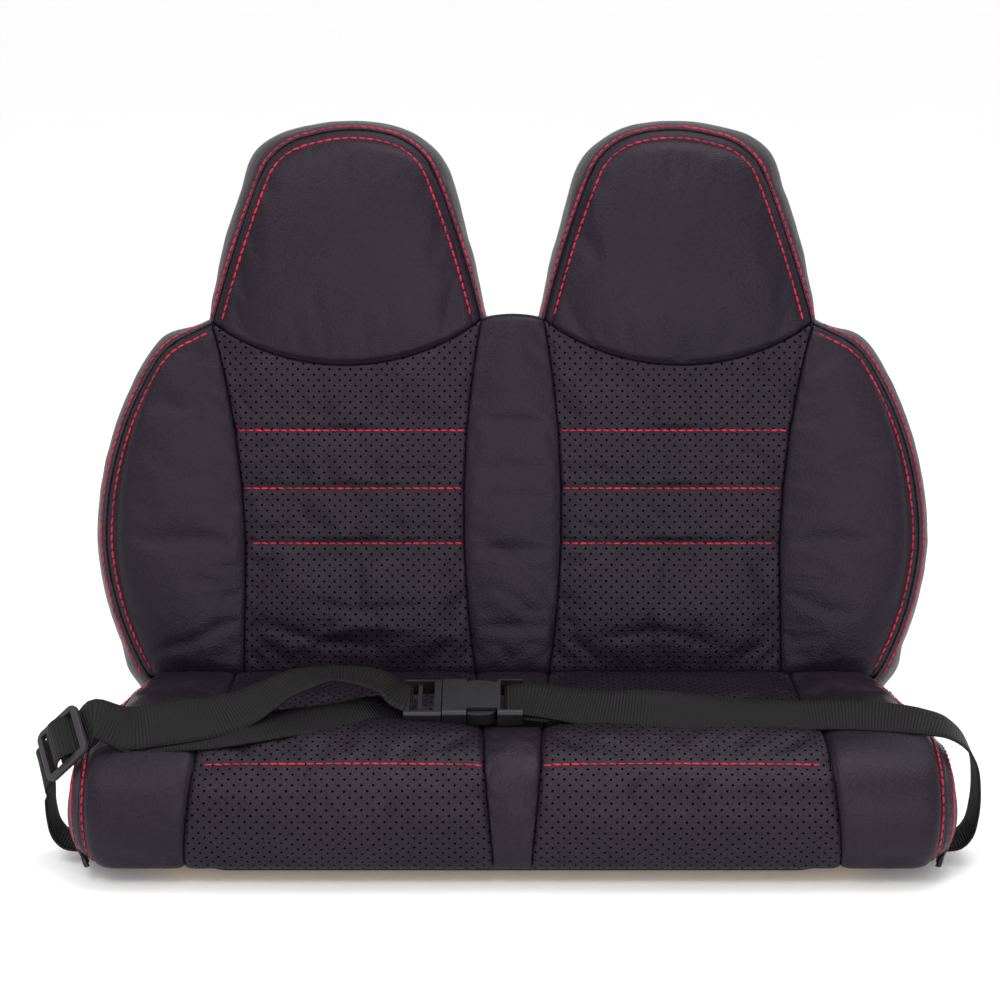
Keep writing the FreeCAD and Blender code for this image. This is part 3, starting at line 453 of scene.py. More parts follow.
def back_point(x, v, rise):
    """A point over the leaning front plane of the back, millimetres in and metres out."""
    return Vector((x, CREASE_Y + v * math.sin(LEAN) - rise * math.cos(LEAN),
                   CREASE_Z + v * math.cos(LEAN) + rise * math.sin(LEAN))) * MM


SEAT_LOW, SEAT_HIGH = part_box("cover_seat_perforated_right")
FRONT_Y = SEAT_LOW[1] / MM
HEM_Z = 11.5
ROUND = 22.0


def smoothed(line, passes):
    """A line with its corners eased, ends kept."""
    for _ in range(passes):
        line = [line[0]] + [tuple((a + 2 * b + c) / 4 for a, b, c in zip(*three))
                            for three in zip(line, line[1:], line[2:])] + [line[-1]]
    return line


def seat_profile():
    """Side view of the cushion from the crease forwards to the hem, as evenly spaced (y, z)."""
    line = trace((CREASE_Y - 1.2, CREASE_Z - 10), None, (CREASE_Y - 1.4, CREASE_Z - 5),
                 (CREASE_Y - 3, CREASE_Z - 1.6), (CREASE_Y - 7, CREASE_Z - 0.6), (2, 80.6), (-58, 84),
                 (-84, 86.2), (-104, 82), (-124, 66), (FRONT_Y, 44), (FRONT_Y + 2.5, 25),
                 (FRONT_Y + 10, HEM_Z))
    even = spaced(line, [k / 120 for k in range(121)])
    return smoothed(even, 4)


PROFILE = seat_profile()
PROFILE_LENGTH = lengths(PROFILE)[-1]

# Half width of the cushion by distance along the profile, and the edges of its panels.
HALF_WIDTH = ((0, 257), (11, 258), (30, 262.5), (55, 269.5), (100, 275.5), (150, 277.5), (190, 277.5),
              (215, 277.5), (240, 276.5), (254, 273), (262, 268))
MIDDLE_HALF = ((0, 25), (60, 23), (165, 18), (262, 12))
PERFORATED_HALF = ((0, 191), (60, 193), (165, 199), (262, 206))
SEAT_CHANNELS = (91, 180)
SEAM_ANGLE, BAND_ANGLE = math.radians(48), math.radians(42)


def profile_at(s):
    """Point and outward normal of the cushion's profile."""
    reach = max(0.0, min(1.0, s / PROFILE_LENGTH)) * (len(PROFILE) - 1)
    k = min(int(reach), len(PROFILE) - 2)
    part = reach - k
    y, z = (a + (b - a) * part for a, b in zip(PROFILE[k], PROFILE[k + 1]))
    low, high = PROFILE[max(k - 1, 0)], PROFILE[min(k + 2, len(PROFILE) - 1)]
    dy, dz = high[0] - low[0], high[1] - low[1]
    size = math.hypot(dy, dz)
    return y, z, dz / size, -dy / size


def seat_point(q, s, rise):
    """A point over the cushion: q across, s along the profile; past the edge it rolls over the side."""
    y, z, ny, nz = profile_at(s)
    start = table(HALF_WIDTH, s) - ROUND
    past = abs(q) - start
    angle = max(0.0, min(past / ROUND, math.pi / 2))
    x = (abs(q) if past < 0 else start + ROUND * math.sin(angle)) + rise * math.sin(angle)
    down = ROUND * (1 - math.cos(angle)) + max(0.0, past - ROUND * math.pi / 2) - rise * math.cos(angle)
    return Vector((math.copysign(x, q), y - ny * down, z - nz * down)) * MM


def seat_seam(s):
    """Where the side seam runs over the rolled edge."""
    return table(HALF_WIDTH, s) - ROUND + ROUND * SEAM_ANGLE


# ---------------------------------------------------------------- sewn panels

# Rise of the leather by distance from a seam: it dives into the seam, and dips under each topstitched row.
SEAMS = {
    "double": ((0, -2.6), (0.7, -1.4), (1.6, -0.8), (2.8, -0.5), (4.0, -0.8), (4.9, -1.4), (5.8, -0.8),
               (9, 0)),
    "broad": ((0, -2.6), (0.7, -1.3), (1.6, -0.7), (3.2, -0.4), (5.4, -0.8), (6.4, -1.4), (7.4, -0.7),
              (10, 0)),
    "plain": ((0, -2.6), (0.7, -1.7), (1.6, -1.1), (3.0, -0.5), (5.0, -0.2), (7.5, 0)),
    "tuck": ((0, -2.0), (3, -0.8), (7, 0)),
    "hem": ((0, -0.5), (2, 0)),
}
TOPSTITCHED = {"double": 4.9, "broad": 6.4}
CHANNEL_DEPTH, CHANNEL_WIDTH, CHANNEL_PIN = 2.6, 2.6, 2.2
# How far from each seam the stitching holds the leather down.
PIN = {"double": 6.4, "broad": 7.8, "plain": 1.7, "tuck": 8.0, "hem": 6.0}
GRID = 4.0


def ladder(length, first, last):
    """Fractions across a panel: close rows beside each seam, then even ones."""
    near = [d for d, _ in SEAMS[first]]
    far = [length - d for d, _ in SEAMS[last]][::-1]
    gap = far[0] - near[-1]
    count = max(2, round(gap / GRID))
    inner = [near[-1] + gap * k / count for k in range(1, count)]
    return [d / length for d in near + inner + far]


class Panel:
    """One sewn panel: four edge lines, a seam kind on each, and the surface that it lies on."""

    def __init__(self, edges, seams, surface, crown=0.0, droop=0.0, channels=()):
        self.bottom, self.right, self.top, self.left = edges
        self.seams = seams
        self.surface = surface
        self.crown = crown
        self.droop = droop
        self.channels = channels

    def grid(self):
        """Flat places of the grid's corners, row by row."""
        wide = max(lengths(self.bottom)[-1], lengths(self.top)[-1])
        tall = max(lengths(self.left)[-1], lengths(self.right)[-1])
        us = ladder(wide, self.seams[3], self.seams[1])
        vs = ladder(tall, self.seams[0], self.seams[2])
        low, high = spaced(self.bottom, us), spaced(self.top, us)
        left, right = spaced(self.left, vs), spaced(self.right, vs)
        rows = []
        for j, v in enumerate(vs):
            row = []
            for i, u in enumerate(us):
                place = []
                for k in (0, 1):
                    edge = (1 - v) * low[i][k] + v * high[i][k] + (1 - u) * left[j][k] + u * right[j][k]
                    corner = (1 - v) * ((1 - u) * low[0][k] + u * low[-1][k])
                    corner += v * ((1 - u) * high[0][k] + u * high[-1][k])
                    place.append(edge - corner)
                away = (v * tall, (1 - u) * wide, (1 - v) * tall, u * wide)
                row.append((tuple(place), away, u, v))
            rows.append(row)
        return rows

    def padding(self, u, v):
        """How far the padding lifts the middle over the edges."""
        return self.crown * (1 - abs(2 * u - 1) ** 2.6) * (1 - abs(2 * v - 1) ** 2.6)

    def rise(self, place, away, u, v):
        """Height of the leather over its surface before padding swells it."""
        height = self.padding(u, v)
        for kind, gap in zip(self.seams, away):
            height += table(SEAMS[kind], gap)
            if kind in TOPSTITCHED:
                height -= self.droop * max(0.0, 1 - gap / 15) ** 2
        for channel in self.channels:
            height -= CHANNEL_DEPTH * math.exp(-((place[1] - channel) / CHANNEL_WIDTH) ** 2)
        return height

    def held(self, place, away):
        """True where the stitching holds the leather down."""
        if any(gap < PIN[kind] for kind, gap in zip(self.seams, away)):
            return True
        return any(abs(place[1] - channel) < CHANNEL_PIN for channel in self.channels)


# A foam block's face: its share of the panel, how far it lies below, and how it rounds off at its rim.
FOAM_SHARE, FOAM_BELOW, FOAM_ROUND, FOAM_RIM = 0.97, 6.5, 5, 12


def foam_block(name, panel, depth, material, node):
    """Foam under a panel: its face drawn in from the edges and below the leather, with real depth."""
    rows = panel.grid()
    centre = [sum(row[0][0][k] + row[-1][0][k] for row in rows) / (2 * len(rows)) for k in (0, 1)]
    mesh, verts = grid_mesh(len(rows), len(rows[0]))
    for (j, i), vert in verts.items():
        place, away, u, v = rows[j][i]
        x, y = (middle + (part - middle) * FOAM_SHARE for part, middle in zip(place, centre))
        rim = FOAM_ROUND * max(0.0, 1 - min(away) / FOAM_RIM) ** 2
        vert.co = panel.surface(x, y, panel.padding(u, v) - FOAM_BELOW - rim)
    if panel.surface is seat_point:
        bmesh.ops.reverse_faces(mesh, faces=mesh.faces)
    made = make_object(name, mesh, material)
    wall = made.modifiers.new("Depth", "SOLIDIFY")
    wall.thickness = depth * MM
    wall.offset = -1.0
    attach(made, BODY)
    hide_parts(node)


def foam_panels():
    """The face of each foam block, its depth and its CAD node."""
    panels = back_panels()
    seam = [(seat_seam(s) - 6, s) for s in (30 + (PROFILE_LENGTH - 38) * k / 50 for k in range(51))]
    other = mirrored(seam)
    cushion = Panel(([other[0], seam[0]], seam, [other[-1], seam[-1]], other), ("hem",) * 4, seat_point, 0.5)
    side = [(184, TUCK + 2), (184, 74), (198, 200)]
    back = Panel(([(-184, TUCK + 2), (184, TUCK + 2)], side, [(-198, 200), (198, 200)], mirrored(side)),
                 ("hem",) * 4, back_point, 1.0)
    found = {"seat_foam_block": (cushion, 18, "seat_foam"), "back_foam_block": (back, 34, "back_foam")}
    for hand, _ in HANDS:
        for part, depth in (("wing", 36), ("headrest", 30)):
            panel = panels[part + "_panel_" + hand][0]
            found[part + "_foam_block_" + hand] = (panel, depth, part + "_foam_" + hand)
    return found


def grid_mesh(rows, cols):
    """An empty grid made by operator; returns the mesh and its vertices by row and column."""
    mesh = bmesh.new()
    bmesh.ops.create_grid(mesh, x_segments=cols - 1, y_segments=rows - 1, size=0.5)
    mesh.verts.ensure_lookup_table()
    found = {}
    for vert in mesh.verts:
        col = round((vert.co.x + 0.5) * (cols - 1))
        row = round((vert.co.y + 0.5) * (rows - 1))
        found[row, col] = vert
    return mesh, found


def make_object(name, mesh, material):
    """Put a bmesh into a new object, smooth shaded."""
    data = bpy.data.meshes.new(name)
    mesh.to_mesh(data)
    mesh.free()
    data.polygons.foreach_set("use_smooth", [True] * len(data.polygons))
    data.materials.append(material)
    made = bpy.data.objects.new(name, data)
    bpy.context.scene.collection.objects.link(made)
    return made


def set_flat(mesh, places):
    """Store each vertex's flat place, in metres, as the UV map that patterns follow."""
    layer = mesh.loops.layers.uv.new("flat")
    for face in mesh.faces:
        for loop in face.loops:
            loop[layer].uv = places[loop.vert]


def build_panel(name, panel, material, flip=False):
    """The panel's sheet of leather, with a vertex group of what the stitching holds."""
    rows = panel.grid()
    mesh, verts = grid_mesh(len(rows), len(rows[0]))
    places, held = {}, []
    for (j, i), vert in verts.items():
        place, away, u, v = rows[j][i]
        vert.co = panel.surface(place[0], place[1], panel.rise(place, away, u, v))
        places[vert] = (place[0] * MM, place[1] * MM)
        if panel.held(place, away):
            held.append(vert)
    set_flat(mesh, places)
    if flip:
        bmesh.ops.reverse_faces(mesh, faces=mesh.faces)
    mesh.verts.index_update()
    indices = [vert.index for vert in held]
    made = make_object(name, mesh, material)
    made.vertex_groups.new(name="held").add(indices, 1.0, "REPLACE")
    return made


def baked(target):
    """Replace an object's mesh with what its modifiers make of it."""
    graph = bpy.context.evaluated_depsgraph_get()
    data = bpy.data.meshes.new_from_object(target.evaluated_get(graph), preserve_all_data_layers=True,
                                           depsgraph=graph)
    target.modifiers.clear()
    target.data = data


CLOTH_STEPS = 20
# How the leather behaves while the padding swells it.
LEATHER_CLOTH = {"quality": 5, "mass": 0.15, "tension_stiffness": 18, "compression_stiffness": 18,
                 "shear_stiffness": 10, "bending_stiffness": 1.2, "shrink_min": -0.012,
                 "vertex_group_mass": "held", "use_pressure": True}


def swell(targets, pressure, cap):
    """Let the padding press the covers out where no stitch holds them, then keep the result."""
    scene = bpy.context.scene
    for target in targets:
        cloth = target.modifiers.new("Padding", "CLOTH")
        for key, value in LEATHER_CLOTH.items():
            setattr(cloth.settings, key, value)
        cloth.settings.uniform_pressure_force = pressure
        cloth.settings.effector_weights.gravity = 0.0
        cloth.collision_settings.use_collision = False
        cloth.point_cache.frame_end = CLOTH_STEPS
    for step in range(1, CLOTH_STEPS + 1):
        scene.frame_set(step)
    for target in targets:
        before = [vert.co.copy() for vert in target.data.vertices]
        baked(target)
        for vert, start in zip(target.data.vertices, before):
            move = vert.co - start
            if move.length > cap:
                vert.co = start + move * (cap / move.length)
    scene.frame_set(1)


def fold(target, creases):
    """Press soft folds into the leather. A crease is (line of flat points, half width, height)."""
    mesh = bmesh.new()
    mesh.from_mesh(target.data)
    mesh.normal_update()
    layer = mesh.loops.layers.uv["flat"]
    for vert in mesh.verts:
        if not vert.link_loops:
            continue
        place = vert.link_loops[0][layer].uv / MM
        lift = 0.0
        for line, width, height in creases:
            gap, run = nearest_on(line, place)
            if gap < 3 * width:
                ends = min(1.0, 4 * run, 4 * (1 - run))
                lift += height * ends * math.exp(-(gap / width) ** 2)
        if lift:
            vert.co += vert.normal * lift * MM
    mesh.to_mesh(target.data)
    mesh.free()


def nearest_on(line, place):
    """Distance from a flat place to a line, and how far along the line, from 0 to 1."""
    best, where, count = 1e9, 0.0, len(line) - 1
    for k, (one, two) in enumerate(zip(line, line[1:])):
        ax, ay = one
        dx, dy = two[0] - ax, two[1] - ay
        part = ((place[0] - ax) * dx + (place[1] - ay) * dy) / (dx * dx + dy * dy)
        part = max(0.0, min(1.0, part))
        gap = math.hypot(place[0] - ax - part * dx, place[1] - ay - part * dy)
        if gap < best:
            best, where = gap, (k + part) / count
    return best, where


def finish_leather(target, nodes, thickness=1.2):
    """Fine mesh, real thickness, and the panel's place in the frame."""
    fine = target.modifiers.new("Fine", "SUBSURF")
    fine.levels = fine.render_levels = 1
    wall = target.modifiers.new("Thickness", "SOLIDIFY")
    wall.thickness = thickness * MM
    wall.offset = -1.0
    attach(target, BODY)
    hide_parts(*nodes)


def handed(sign, edges):
    """Edge lines for a hand: bottom, right, top, left, so that the grid always runs to the right."""
    if sign > 0:
        return edges
    bottom, right, top, left = (mirrored(edge) for edge in edges)
    return bottom[::-1], left, top[::-1], right


def handed_seams(sign, seams):
    """Seam kinds for a hand."""
    bottom, right, top, left = seams
    return seams if sign > 0 else (bottom, left, top, right)


def wing_line():
    """The stitched edge of the right wing, up its side and in along its shoulder."""
    return WING_OUTER + WING_TOP[::-1][1:]


def head_line():
    """The stitched edge of the right headrest, from the shoulder over the top to the valley."""
    return HEAD_OUTER + HEAD_TOP[::-1][1:] + HEAD_INNER[::-1][1:]


def back_panels():
    """Every panel on the front of the back: name to (panel, material kind, CAD node, fill)."""
    found = {}
    for hand, sign in HANDS:
        head = Panel(handed(sign, (HEAD_SEAM, HEAD_OUTER, HEAD_TOP, HEAD_INNER)),
                     handed_seams(sign, ("plain", "broad", "broad", "broad")), back_point, 5.0, 4.5)
        found["headrest_panel_" + hand] = (head, "plain", "cover_headrest_" + hand, 0.7)
        bottom = [(25, TUCK), (186, TUCK)]
        middle = Panel(handed(sign, (bottom, WING_INNER, HEAD_SEAM, MIDDLE_EDGE)),
                       handed_seams(sign, ("tuck", "plain", "plain", "plain")), back_point, 2.0, 0.0,
                       CHANNELS)
        found["back_perforated_panel_" + hand] = (middle, "perforated", "cover_back_perforated_" + hand, 0.6)
        wing = Panel(handed(sign, ([(186, TUCK), (248.6, TUCK)], WING_OUTER, WING_TOP, WING_INNER)),
                     handed_seams(sign, ("tuck", "double", "double", "plain")), back_point, 7.0, 4.5)
        found["wing_panel_" + hand] = (wing, "plain", "cover_wing_" + hand, 0.7)
    strip = Panel(([(-25, TUCK), (25, TUCK)], MIDDLE_EDGE, VALLEY_TOP, mirrored(MIDDLE_EDGE)),
                  ("tuck", "plain", "plain", "plain"), back_point, 1.0)
    found["back_middle_panel"] = (strip, "plain", "cover_back_middle", 0.5)
    return found


def seat_line(edge, sign=1):
    """An edge of a seat panel along the profile."""
    steps = 60
    return [(sign * edge(s), s) for s in (PROFILE_LENGTH * k / steps for k in range(steps + 1))]


def seat_panels():
    """Every panel on the cushion's top and front."""
    found = {}
    middle, outer = partial(table, MIDDLE_HALF), partial(table, PERFORATED_HALF)
    for hand, sign in HANDS:
        for kind, inner_edge, outer_edge, outer_seam, name, crown, channels in (
                ("perforated", middle, outer, "plain", "seat_perforated_panel_", 1.5, SEAT_CHANNELS),
                ("plain", outer, seat_seam, "double", "seat_side_panel_", 1.0, ())):
            left, right = seat_line(inner_edge), seat_line(outer_edge)
            edges = ([left[0], right[0]], right, [left[-1], right[-1]], left)
            panel = Panel(handed(sign, edges), handed_seams(sign, ("tuck", outer_seam, "hem", "plain")),
                          seat_point, crown, 0.0, channels)
            node = "cover_seat_perforated_" if kind == "perforated" else "cover_seat_side_"
            found[name + hand] = (panel, kind, node + hand, 0.7)
    left, right = seat_line(middle, -1), seat_line(middle)
    strip = Panel(([left[0], right[0]], right, [left[-1], right[-1]], left),
                  ("tuck", "plain", "hem", "plain"), seat_point, 0.8)
    found["seat_middle_panel"] = (strip, "plain", "cover_seat_middle", 0.6)
    return found


# Soft folds pressed into the leather: line of flat points, half width, height.
FOLDS = {
    "back_perforated_panel_left": ((((-182, 34), (-140, 20), (-84, 14)), 3.6, -2.0),
                                   (((-166, 8), (-110, 30), (-60, 26)), 3.2, 1.6),
                                   (((-150, 46), (-100, 40), (-48, 44)), 3.4, -1.3)),
    "back_perforated_panel_right": ((((48, 18), (100, 26), (150, 14)), 3.6, -1.3),
                                    (((36, 104), (50, 98), (66, 99)), 2.2, -1.2)),
    "wing_panel_left": ((((-252, 12), (-222, 18), (-190, 33)), 3.2, -2.2),),
    "wing_panel_right": ((((190, 79), (206, 73), (222, 62)), 2.8, -1.4),
                         (((192, 50), (215, 40), (238, 38)), 3.2, -1.5)),
    "back_middle_panel": ((((-26, 90), (0, 76), (28, 52)), 3.0, -1.6),
                          (((-24, 60), (0, 50), (24, 26)), 3.0, -1.2)),
}

# Section of a side band: distance out from the outline and back from its plane. Past the stitched edge,
# the way out is scaled so that the widest part, BAND_FULL, comes to the flare at that place.
BAND = ((-0.8, 6.9), (0.3, 5.5), (1.6, 5.6), (3.0, 6.8), (4.6, 8.8), (5.4, 10.4), (6.4, 12.6), (8.2, 17),
        (9.8, 24), (10.8, 32), (10.8, 40), (10.0, 47), (8.2, 51.5), (5.4, 53.4), (2.6, 53.6))
BAND_EDGE, BAND_FULL, BAND_LEAST = 1.6, 10.8, 1.7
BAND_STEP = 3.5
# Flare of each band: distance along the outline from its start, and how far out the band stands there.
WING_FLARE = ((0, 8), (44, 13), (58, 14.5), (76, 10.4), (200, 9.9), (290, 10.8), (318, 5))
HEAD_FLARE = ((0, 5), (18, 8), (62, 12), (92, 12.5), (118, 15), (150, 10), (182, 8.5), (215, 9),
              (250, 10.8), (300, 7), (356, 4))
VALLEY_FLARE = ((0, 1.4), (40, 1.4))


def band(name, line, flare, material, nodes):
    """A side band of the back along an outline that runs anticlockwise, as wide as its flare says."""
    total = lengths(line)[-1]
    count = max(4, round(total / BAND_STEP))
    fractions = [k / count for k in range(count + 1)]
    mid = spaced(line, fractions)
    mesh, verts = grid_mesh(len(BAND), count + 1)
    widths = lengths(list(BAND))
    places = {}
    for (j, i), vert in verts.items():
        out, back = BAND[j]
        if out > BAND_EDGE:
            wide = max(BAND_LEAST, table(flare, fractions[i] * total))
            out = BAND_EDGE + (out - BAND_EDGE) * (wide - BAND_EDGE) / (BAND_FULL - BAND_EDGE)
        ax, ay = mid[max(i - 1, 0)]
        bx, by = mid[min(i + 1, count)]
        size = math.hypot(bx - ax, by - ay)
        nx, ny = (by - ay) / size, -(bx - ax) / size
        x, v = mid[i]
        wave = 0.5 * noise.noise(Vector((i * 0.35, j * 0.5, total))) * min(1, j / 5)
        vert.co = back_point(x + nx * (out + wave), v + ny * (out + wave), -back)
        places[vert] = (fractions[i] * total * MM, widths[j] * MM)
    set_flat(mesh, places)
    bmesh.ops.reverse_faces(mesh, faces=mesh.faces)
    finish_leather(make_object(name, mesh, material), nodes)


def seat_band(name, sign, material, node):
    """The side of the cushion, from the seam on the rolled edge down to the hem."""
    steps, total = 64, PROFILE_LENGTH
    rows = (0, 0.05, 0.1, 0.17, 0.25, 0.32, 0.4, 0.5, 0.6, 0.7, 0.8, 0.9, 0.97, 1.0)
    mesh, verts = grid_mesh(len(rows), steps + 1)
    places = {}
    rear, front = CREASE_Y + 22, FRONT_Y + 14
    turn = ROUND * BAND_ANGLE
    for (j, i), vert in verts.items():
        s = total * i / steps
        seam = seat_seam(s)
        edge = seat_point(sign * (seam + turn), s, 0.0)
        part = rows[j]
        hem_y = rear + (front - rear) * table(((0, 0), (60, 0.28), (150, 0.72), (215, 0.93), (total, 1)), s)
        tuck = table(((0, 3), (190, 3), (228, 9), (248, 9), (total, 3)), s)
        low = Vector((edge.x - sign * tuck * MM, hem_y * MM, HEM_Z * MM))
        if part < 0.25:
            vert.co = seat_point(sign * (seam + turn * part / 0.25), s, gusset_rise(part / 0.25 * turn))
        else:
            deep = (part - 0.25) / 0.75
            vert.co = edge.lerp(low, deep)
            full = min(1.0, (edge - low).length / MM / 40)
            vert.co.x += sign * MM * 4.0 * full * math.sin(math.pi * min(1, deep * 1.02)) ** 0.8
        places[vert] = (s * MM, part * 70 * MM)
    set_flat(mesh, places)
    if sign > 0:
        bmesh.ops.reverse_faces(mesh, faces=mesh.faces)
    finish_leather(make_object(name, mesh, material), [node])


def gusset_rise(gap):
    """Dive into the seam beside the side band."""
    return table(((0, -2.5), (0.8, -1.1), (2, -0.4), (4, -0.3), (5.4, -0.8), (7, 0)), gap)


# ---------------------------------------------------------------- stitching

def crossing(line, v):
    """Where a rising line passes a height."""
    for (ax, ay), (bx, by) in zip(line, line[1:]):
        if ay <= v <= by:
            return ax + (bx - ax) * (v - ay) / max(by - ay, 1e-9)
    return line[-1][0]


def on_back(line):
    """Guide points of a stitched row on the back, each with the way out of the leather."""
    out = back_point(0, 0, 1) - back_point(0, 0, 0)
    return [(back_point(x, v, 0), out.normalized()) for x, v in line]


def on_seat(line):
    """Guide points of a stitched row on the cushion, each with the way out of the leather."""
    return [(seat_point(q, s, 0), (seat_point(q, s, 1) - seat_point(q, s, 0)).normalized()) for q, s in line]


# A stitch looks for the leather from so far outside it, over so long a reach, in metres.
SEEK_FROM, SEEK_REACH = 0.03, 0.05


def sew(name, guides, cover, settings, material, seed):
    """Lay a stitch at every pitch along each guide, half sunk into the leather under it."""
    mesh = bmesh.new()
    chance = random.Random(seed)
    for guide in guides:
        far = lengths([point for point, _ in guide])
        count = int((far[-1] - settings.length) / settings.pitch)
        for start in [settings.pitch * k for k in range(count + 1)]:
            ends = [landing(guide, far, start + reach, cover) for reach in (0.0, settings.length)]
            if None in ends:
                continue
            (one, out), (two, _) = ends
            along = (two - one).normalized()
            side = along.cross(out).normalized()
            along = (along + side * chance.uniform(-0.05, 0.16)).normalized()
            side = along.cross(out).normalized()
            wide = settings.width * chance.uniform(0.9, 1.1)
            sides = (side * wide, side.cross(along) * wide * 0.8, along * (two - one).length)
            turned = Matrix(sides).transposed()
            place = Matrix.Translation((one + two) / 2 + out * settings.width * 0.12) @ turned.to_4x4()
            bmesh.ops.create_uvsphere(mesh, u_segments=6, v_segments=5, radius=0.5, matrix=place)
    made = make_object(name, mesh, material)
    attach(made, BODY)
    return made


def landing(guide, far, goal, cover):
    """The point on the leather under a distance along a guide, with the way out; None past the leather."""
    k = 0
    while k < len(guide) - 2 and far[k + 1] < goal:
        k += 1
    part = min(1.0, (goal - far[k]) / max(far[k + 1] - far[k], 1e-9))
    point, out = (a.lerp(b, part) for a, b in zip(guide[k], guide[k + 1]))
    hits = [tree.ray_cast(point + out * SEEK_FROM, -out, SEEK_REACH) for tree in cover]
    hits = [(distance, hit) for hit, _, _, distance in hits if hit is not None]
    return (min(hits, key=lambda found: found[0])[1], out) if hits else None


def trees(names):
    """Search trees of the finished leather of several pieces."""
    graph = bpy.context.evaluated_depsgraph_get()
    return [BVHTree.FromObject(bpy.data.objects[name], graph) for name in names]


def trimmed(line, start, end):
    """A line without so much at its start and its end."""
    far = lengths(line)[-1]
    count = max(2, round(far / 2))
    return spaced(line, [(start + (far - start - end) * k / count) / far for k in range(count + 1)])


def back_rows(sign):
    """Red rows of one side of the back: name to (guides, pieces under them)."""
    hand = "right" if sign > 0 else "left"
    flip = (lambda line: line) if sign > 0 else mirrored
    rows = {}
    for name, line, kind, outer in (("wing", wing_line(), "double", 3.2),
                                    ("headrest", head_line(), "broad", 1.9)):
        pair = [trimmed(shifted(line, move), 4, 3) for move in (-TOPSTITCHED[kind], outer)]
        rows["stitches_" + name + "_" + hand] = ([on_back(flip(row)) for row in pair],
                                                 (name + "_panel_" + hand, name + "_band_" + hand))
    cross = []
    for v in CHANNELS:
        start, end = crossing(MIDDLE_EDGE, v) + 1.5, crossing(WING_INNER, v) - 1.5
        cross.append(on_back(flip([(start + (end - start) * k / 40, v) for k in range(41)])))
    rows["stitches_channels_" + hand] = (cross, ("back_perforated_panel_" + hand,))
    return rows


def seat_rows(sign):
    """Red rows of one side of the cushion: name to (guides, pieces under them)."""
    hand = "right" if sign > 0 else "left"
    run = [14 + (PROFILE_LENGTH - 18) * k / 130 for k in range(131)]
    pair = [on_seat([(sign * (seat_seam(s) + move), s) for s in run])
            for move in (-TOPSTITCHED["double"], 5.2)]
    cross = []
    for s in SEAT_CHANNELS:
        start, end = table(MIDDLE_HALF, s) + 1.5, table(PERFORATED_HALF, s) - 1.5
        cross.append(on_seat([(sign * (start + (end - start) * k / 40), s) for k in range(41)]))
    return {"stitches_seat_" + hand: (pair, ("seat_side_panel_" + hand, "seat_band_" + hand)),
            "stitches_seat_channels_" + hand: (cross, ("seat_perforated_panel_" + hand,))}


# ---------------------------------------------------------------- lap belt

BUCKLE_AT, BUCKLE_TILT = Vector((-32, -46, 96.3)), math.radians(16)
GLIDE_AT = Vector((-284.4, -89.2, 84))
GLIDE_ACROSS = Vector((0.326, -0.802, -0.5005)).normalized()
GLIDE_DOWN = Vector((-0.705, 0.146, -0.694)).normalized()
GLIDE_FACE = GLIDE_DOWN.cross(GLIDE_ACROSS).normalized()
LOOP = 2.9

# Each station: centre of the webbing in millimetres, and how far its rear edge is lifted, in degrees.
RIGHT_TAIL = (((26, -51, 95.4), 25), ((14, -48.6, 95), 21), ((6, -46.5, 94.6), 18))
RIGHT_ROUTE = (((8, -47, 98.6), 22), ((25, -50.5, 98), 25), ((57, -59, 96), 32), ((89, -66, 97.8), 38),
               ((121, -68, 96), 31), ((154, -66, 94), 22), ((187, -61, 92.6), 18), ((219, -62, 92.8), 18),
               ((245, -66, 92.3), 17), ((262, -70, 91.4), 13), ((277, -74, 88.5), 8), ((288, -76, 80.5), 4))
UPPER_ROUTE = (((-76.5, -45, 102.6), 14), ((-81, -43, 106.4), 11), ((-93, -39.5, 110.5), 7),
               ((-119, -40, 113.8), 0), ((-140, -50, 112), 12), ((-158, -60, 105.5), 21),
               ((-173, -70, 100.3), 29), ((-190, -80, 98.2), 35), ((-207, -86, 97.4), 41),
               ((-224, -90, 96.6), 44), ((-243, -92, 95.2), 42))
LOWER_ROUTE = (((-79, -49, 92), 17), ((-96, -61, 92.9), 20), ((-121, -69, 92.6), 16), ((-145, -75, 92.2), 14),
               ((-165, -82, 91.6), 17), ((-190, -87, 90.4), 23), ((-212, -89, 90.2), 26),
               ((-240, -90.5, 90), 29))
HANGING = ((297, -75, 50), (296.5, -74.5, 34), (293.5, -74, 20), (287, -74, 12.8), (277, -74, 10.9),
           (255, -74, 10.9), (213, -74, 10.9))


def lifted(angle):
    """Width direction of webbing whose rear edge is lifted by so many degrees."""
    turn = math.radians(angle)
    return Vector((0, -math.cos(turn), -math.sin(turn)))


def stations(route):
    """Centre and width direction of each station of a route."""
    return [(Vector(place), lifted(angle)) for place, angle in route]


def buckle_point(x, z):
    """A station in the buckle's own frame: along it, and out of its face."""
    tilt = BUCKLE_TILT
    return BUCKLE_AT + Vector((x, -z * math.sin(tilt), z * math.cos(tilt))), lifted(math.degrees(tilt))


def glide_point(up, lift):
    """A station in the tri-glide's own frame: up towards the seat, and out of its face."""
    return GLIDE_AT - GLIDE_DOWN * up + GLIDE_FACE * lift, GLIDE_ACROSS


def round_bar(centre, point, start, end, steps=6):
    """Stations of webbing turned round a bar, from one angle to another in degrees."""
    turns = [math.radians(start + (end - start) * k / steps) for k in range(steps + 1)]
    return [point(centre + LOOP * math.cos(turn), LOOP * math.sin(turn)) for turn in turns]


def right_belt():
    """Stations of the right-hand webbing, from its sewn tail round the socket's bar to the anchor."""
    hang = [(Vector(place), Vector((0, -1, 0))) for place in ((294.5, -76, 68),) + HANGING]
    return stations(RIGHT_TAIL) + round_bar(30, buckle_point, 290, 90) + stations(RIGHT_ROUTE) + hang


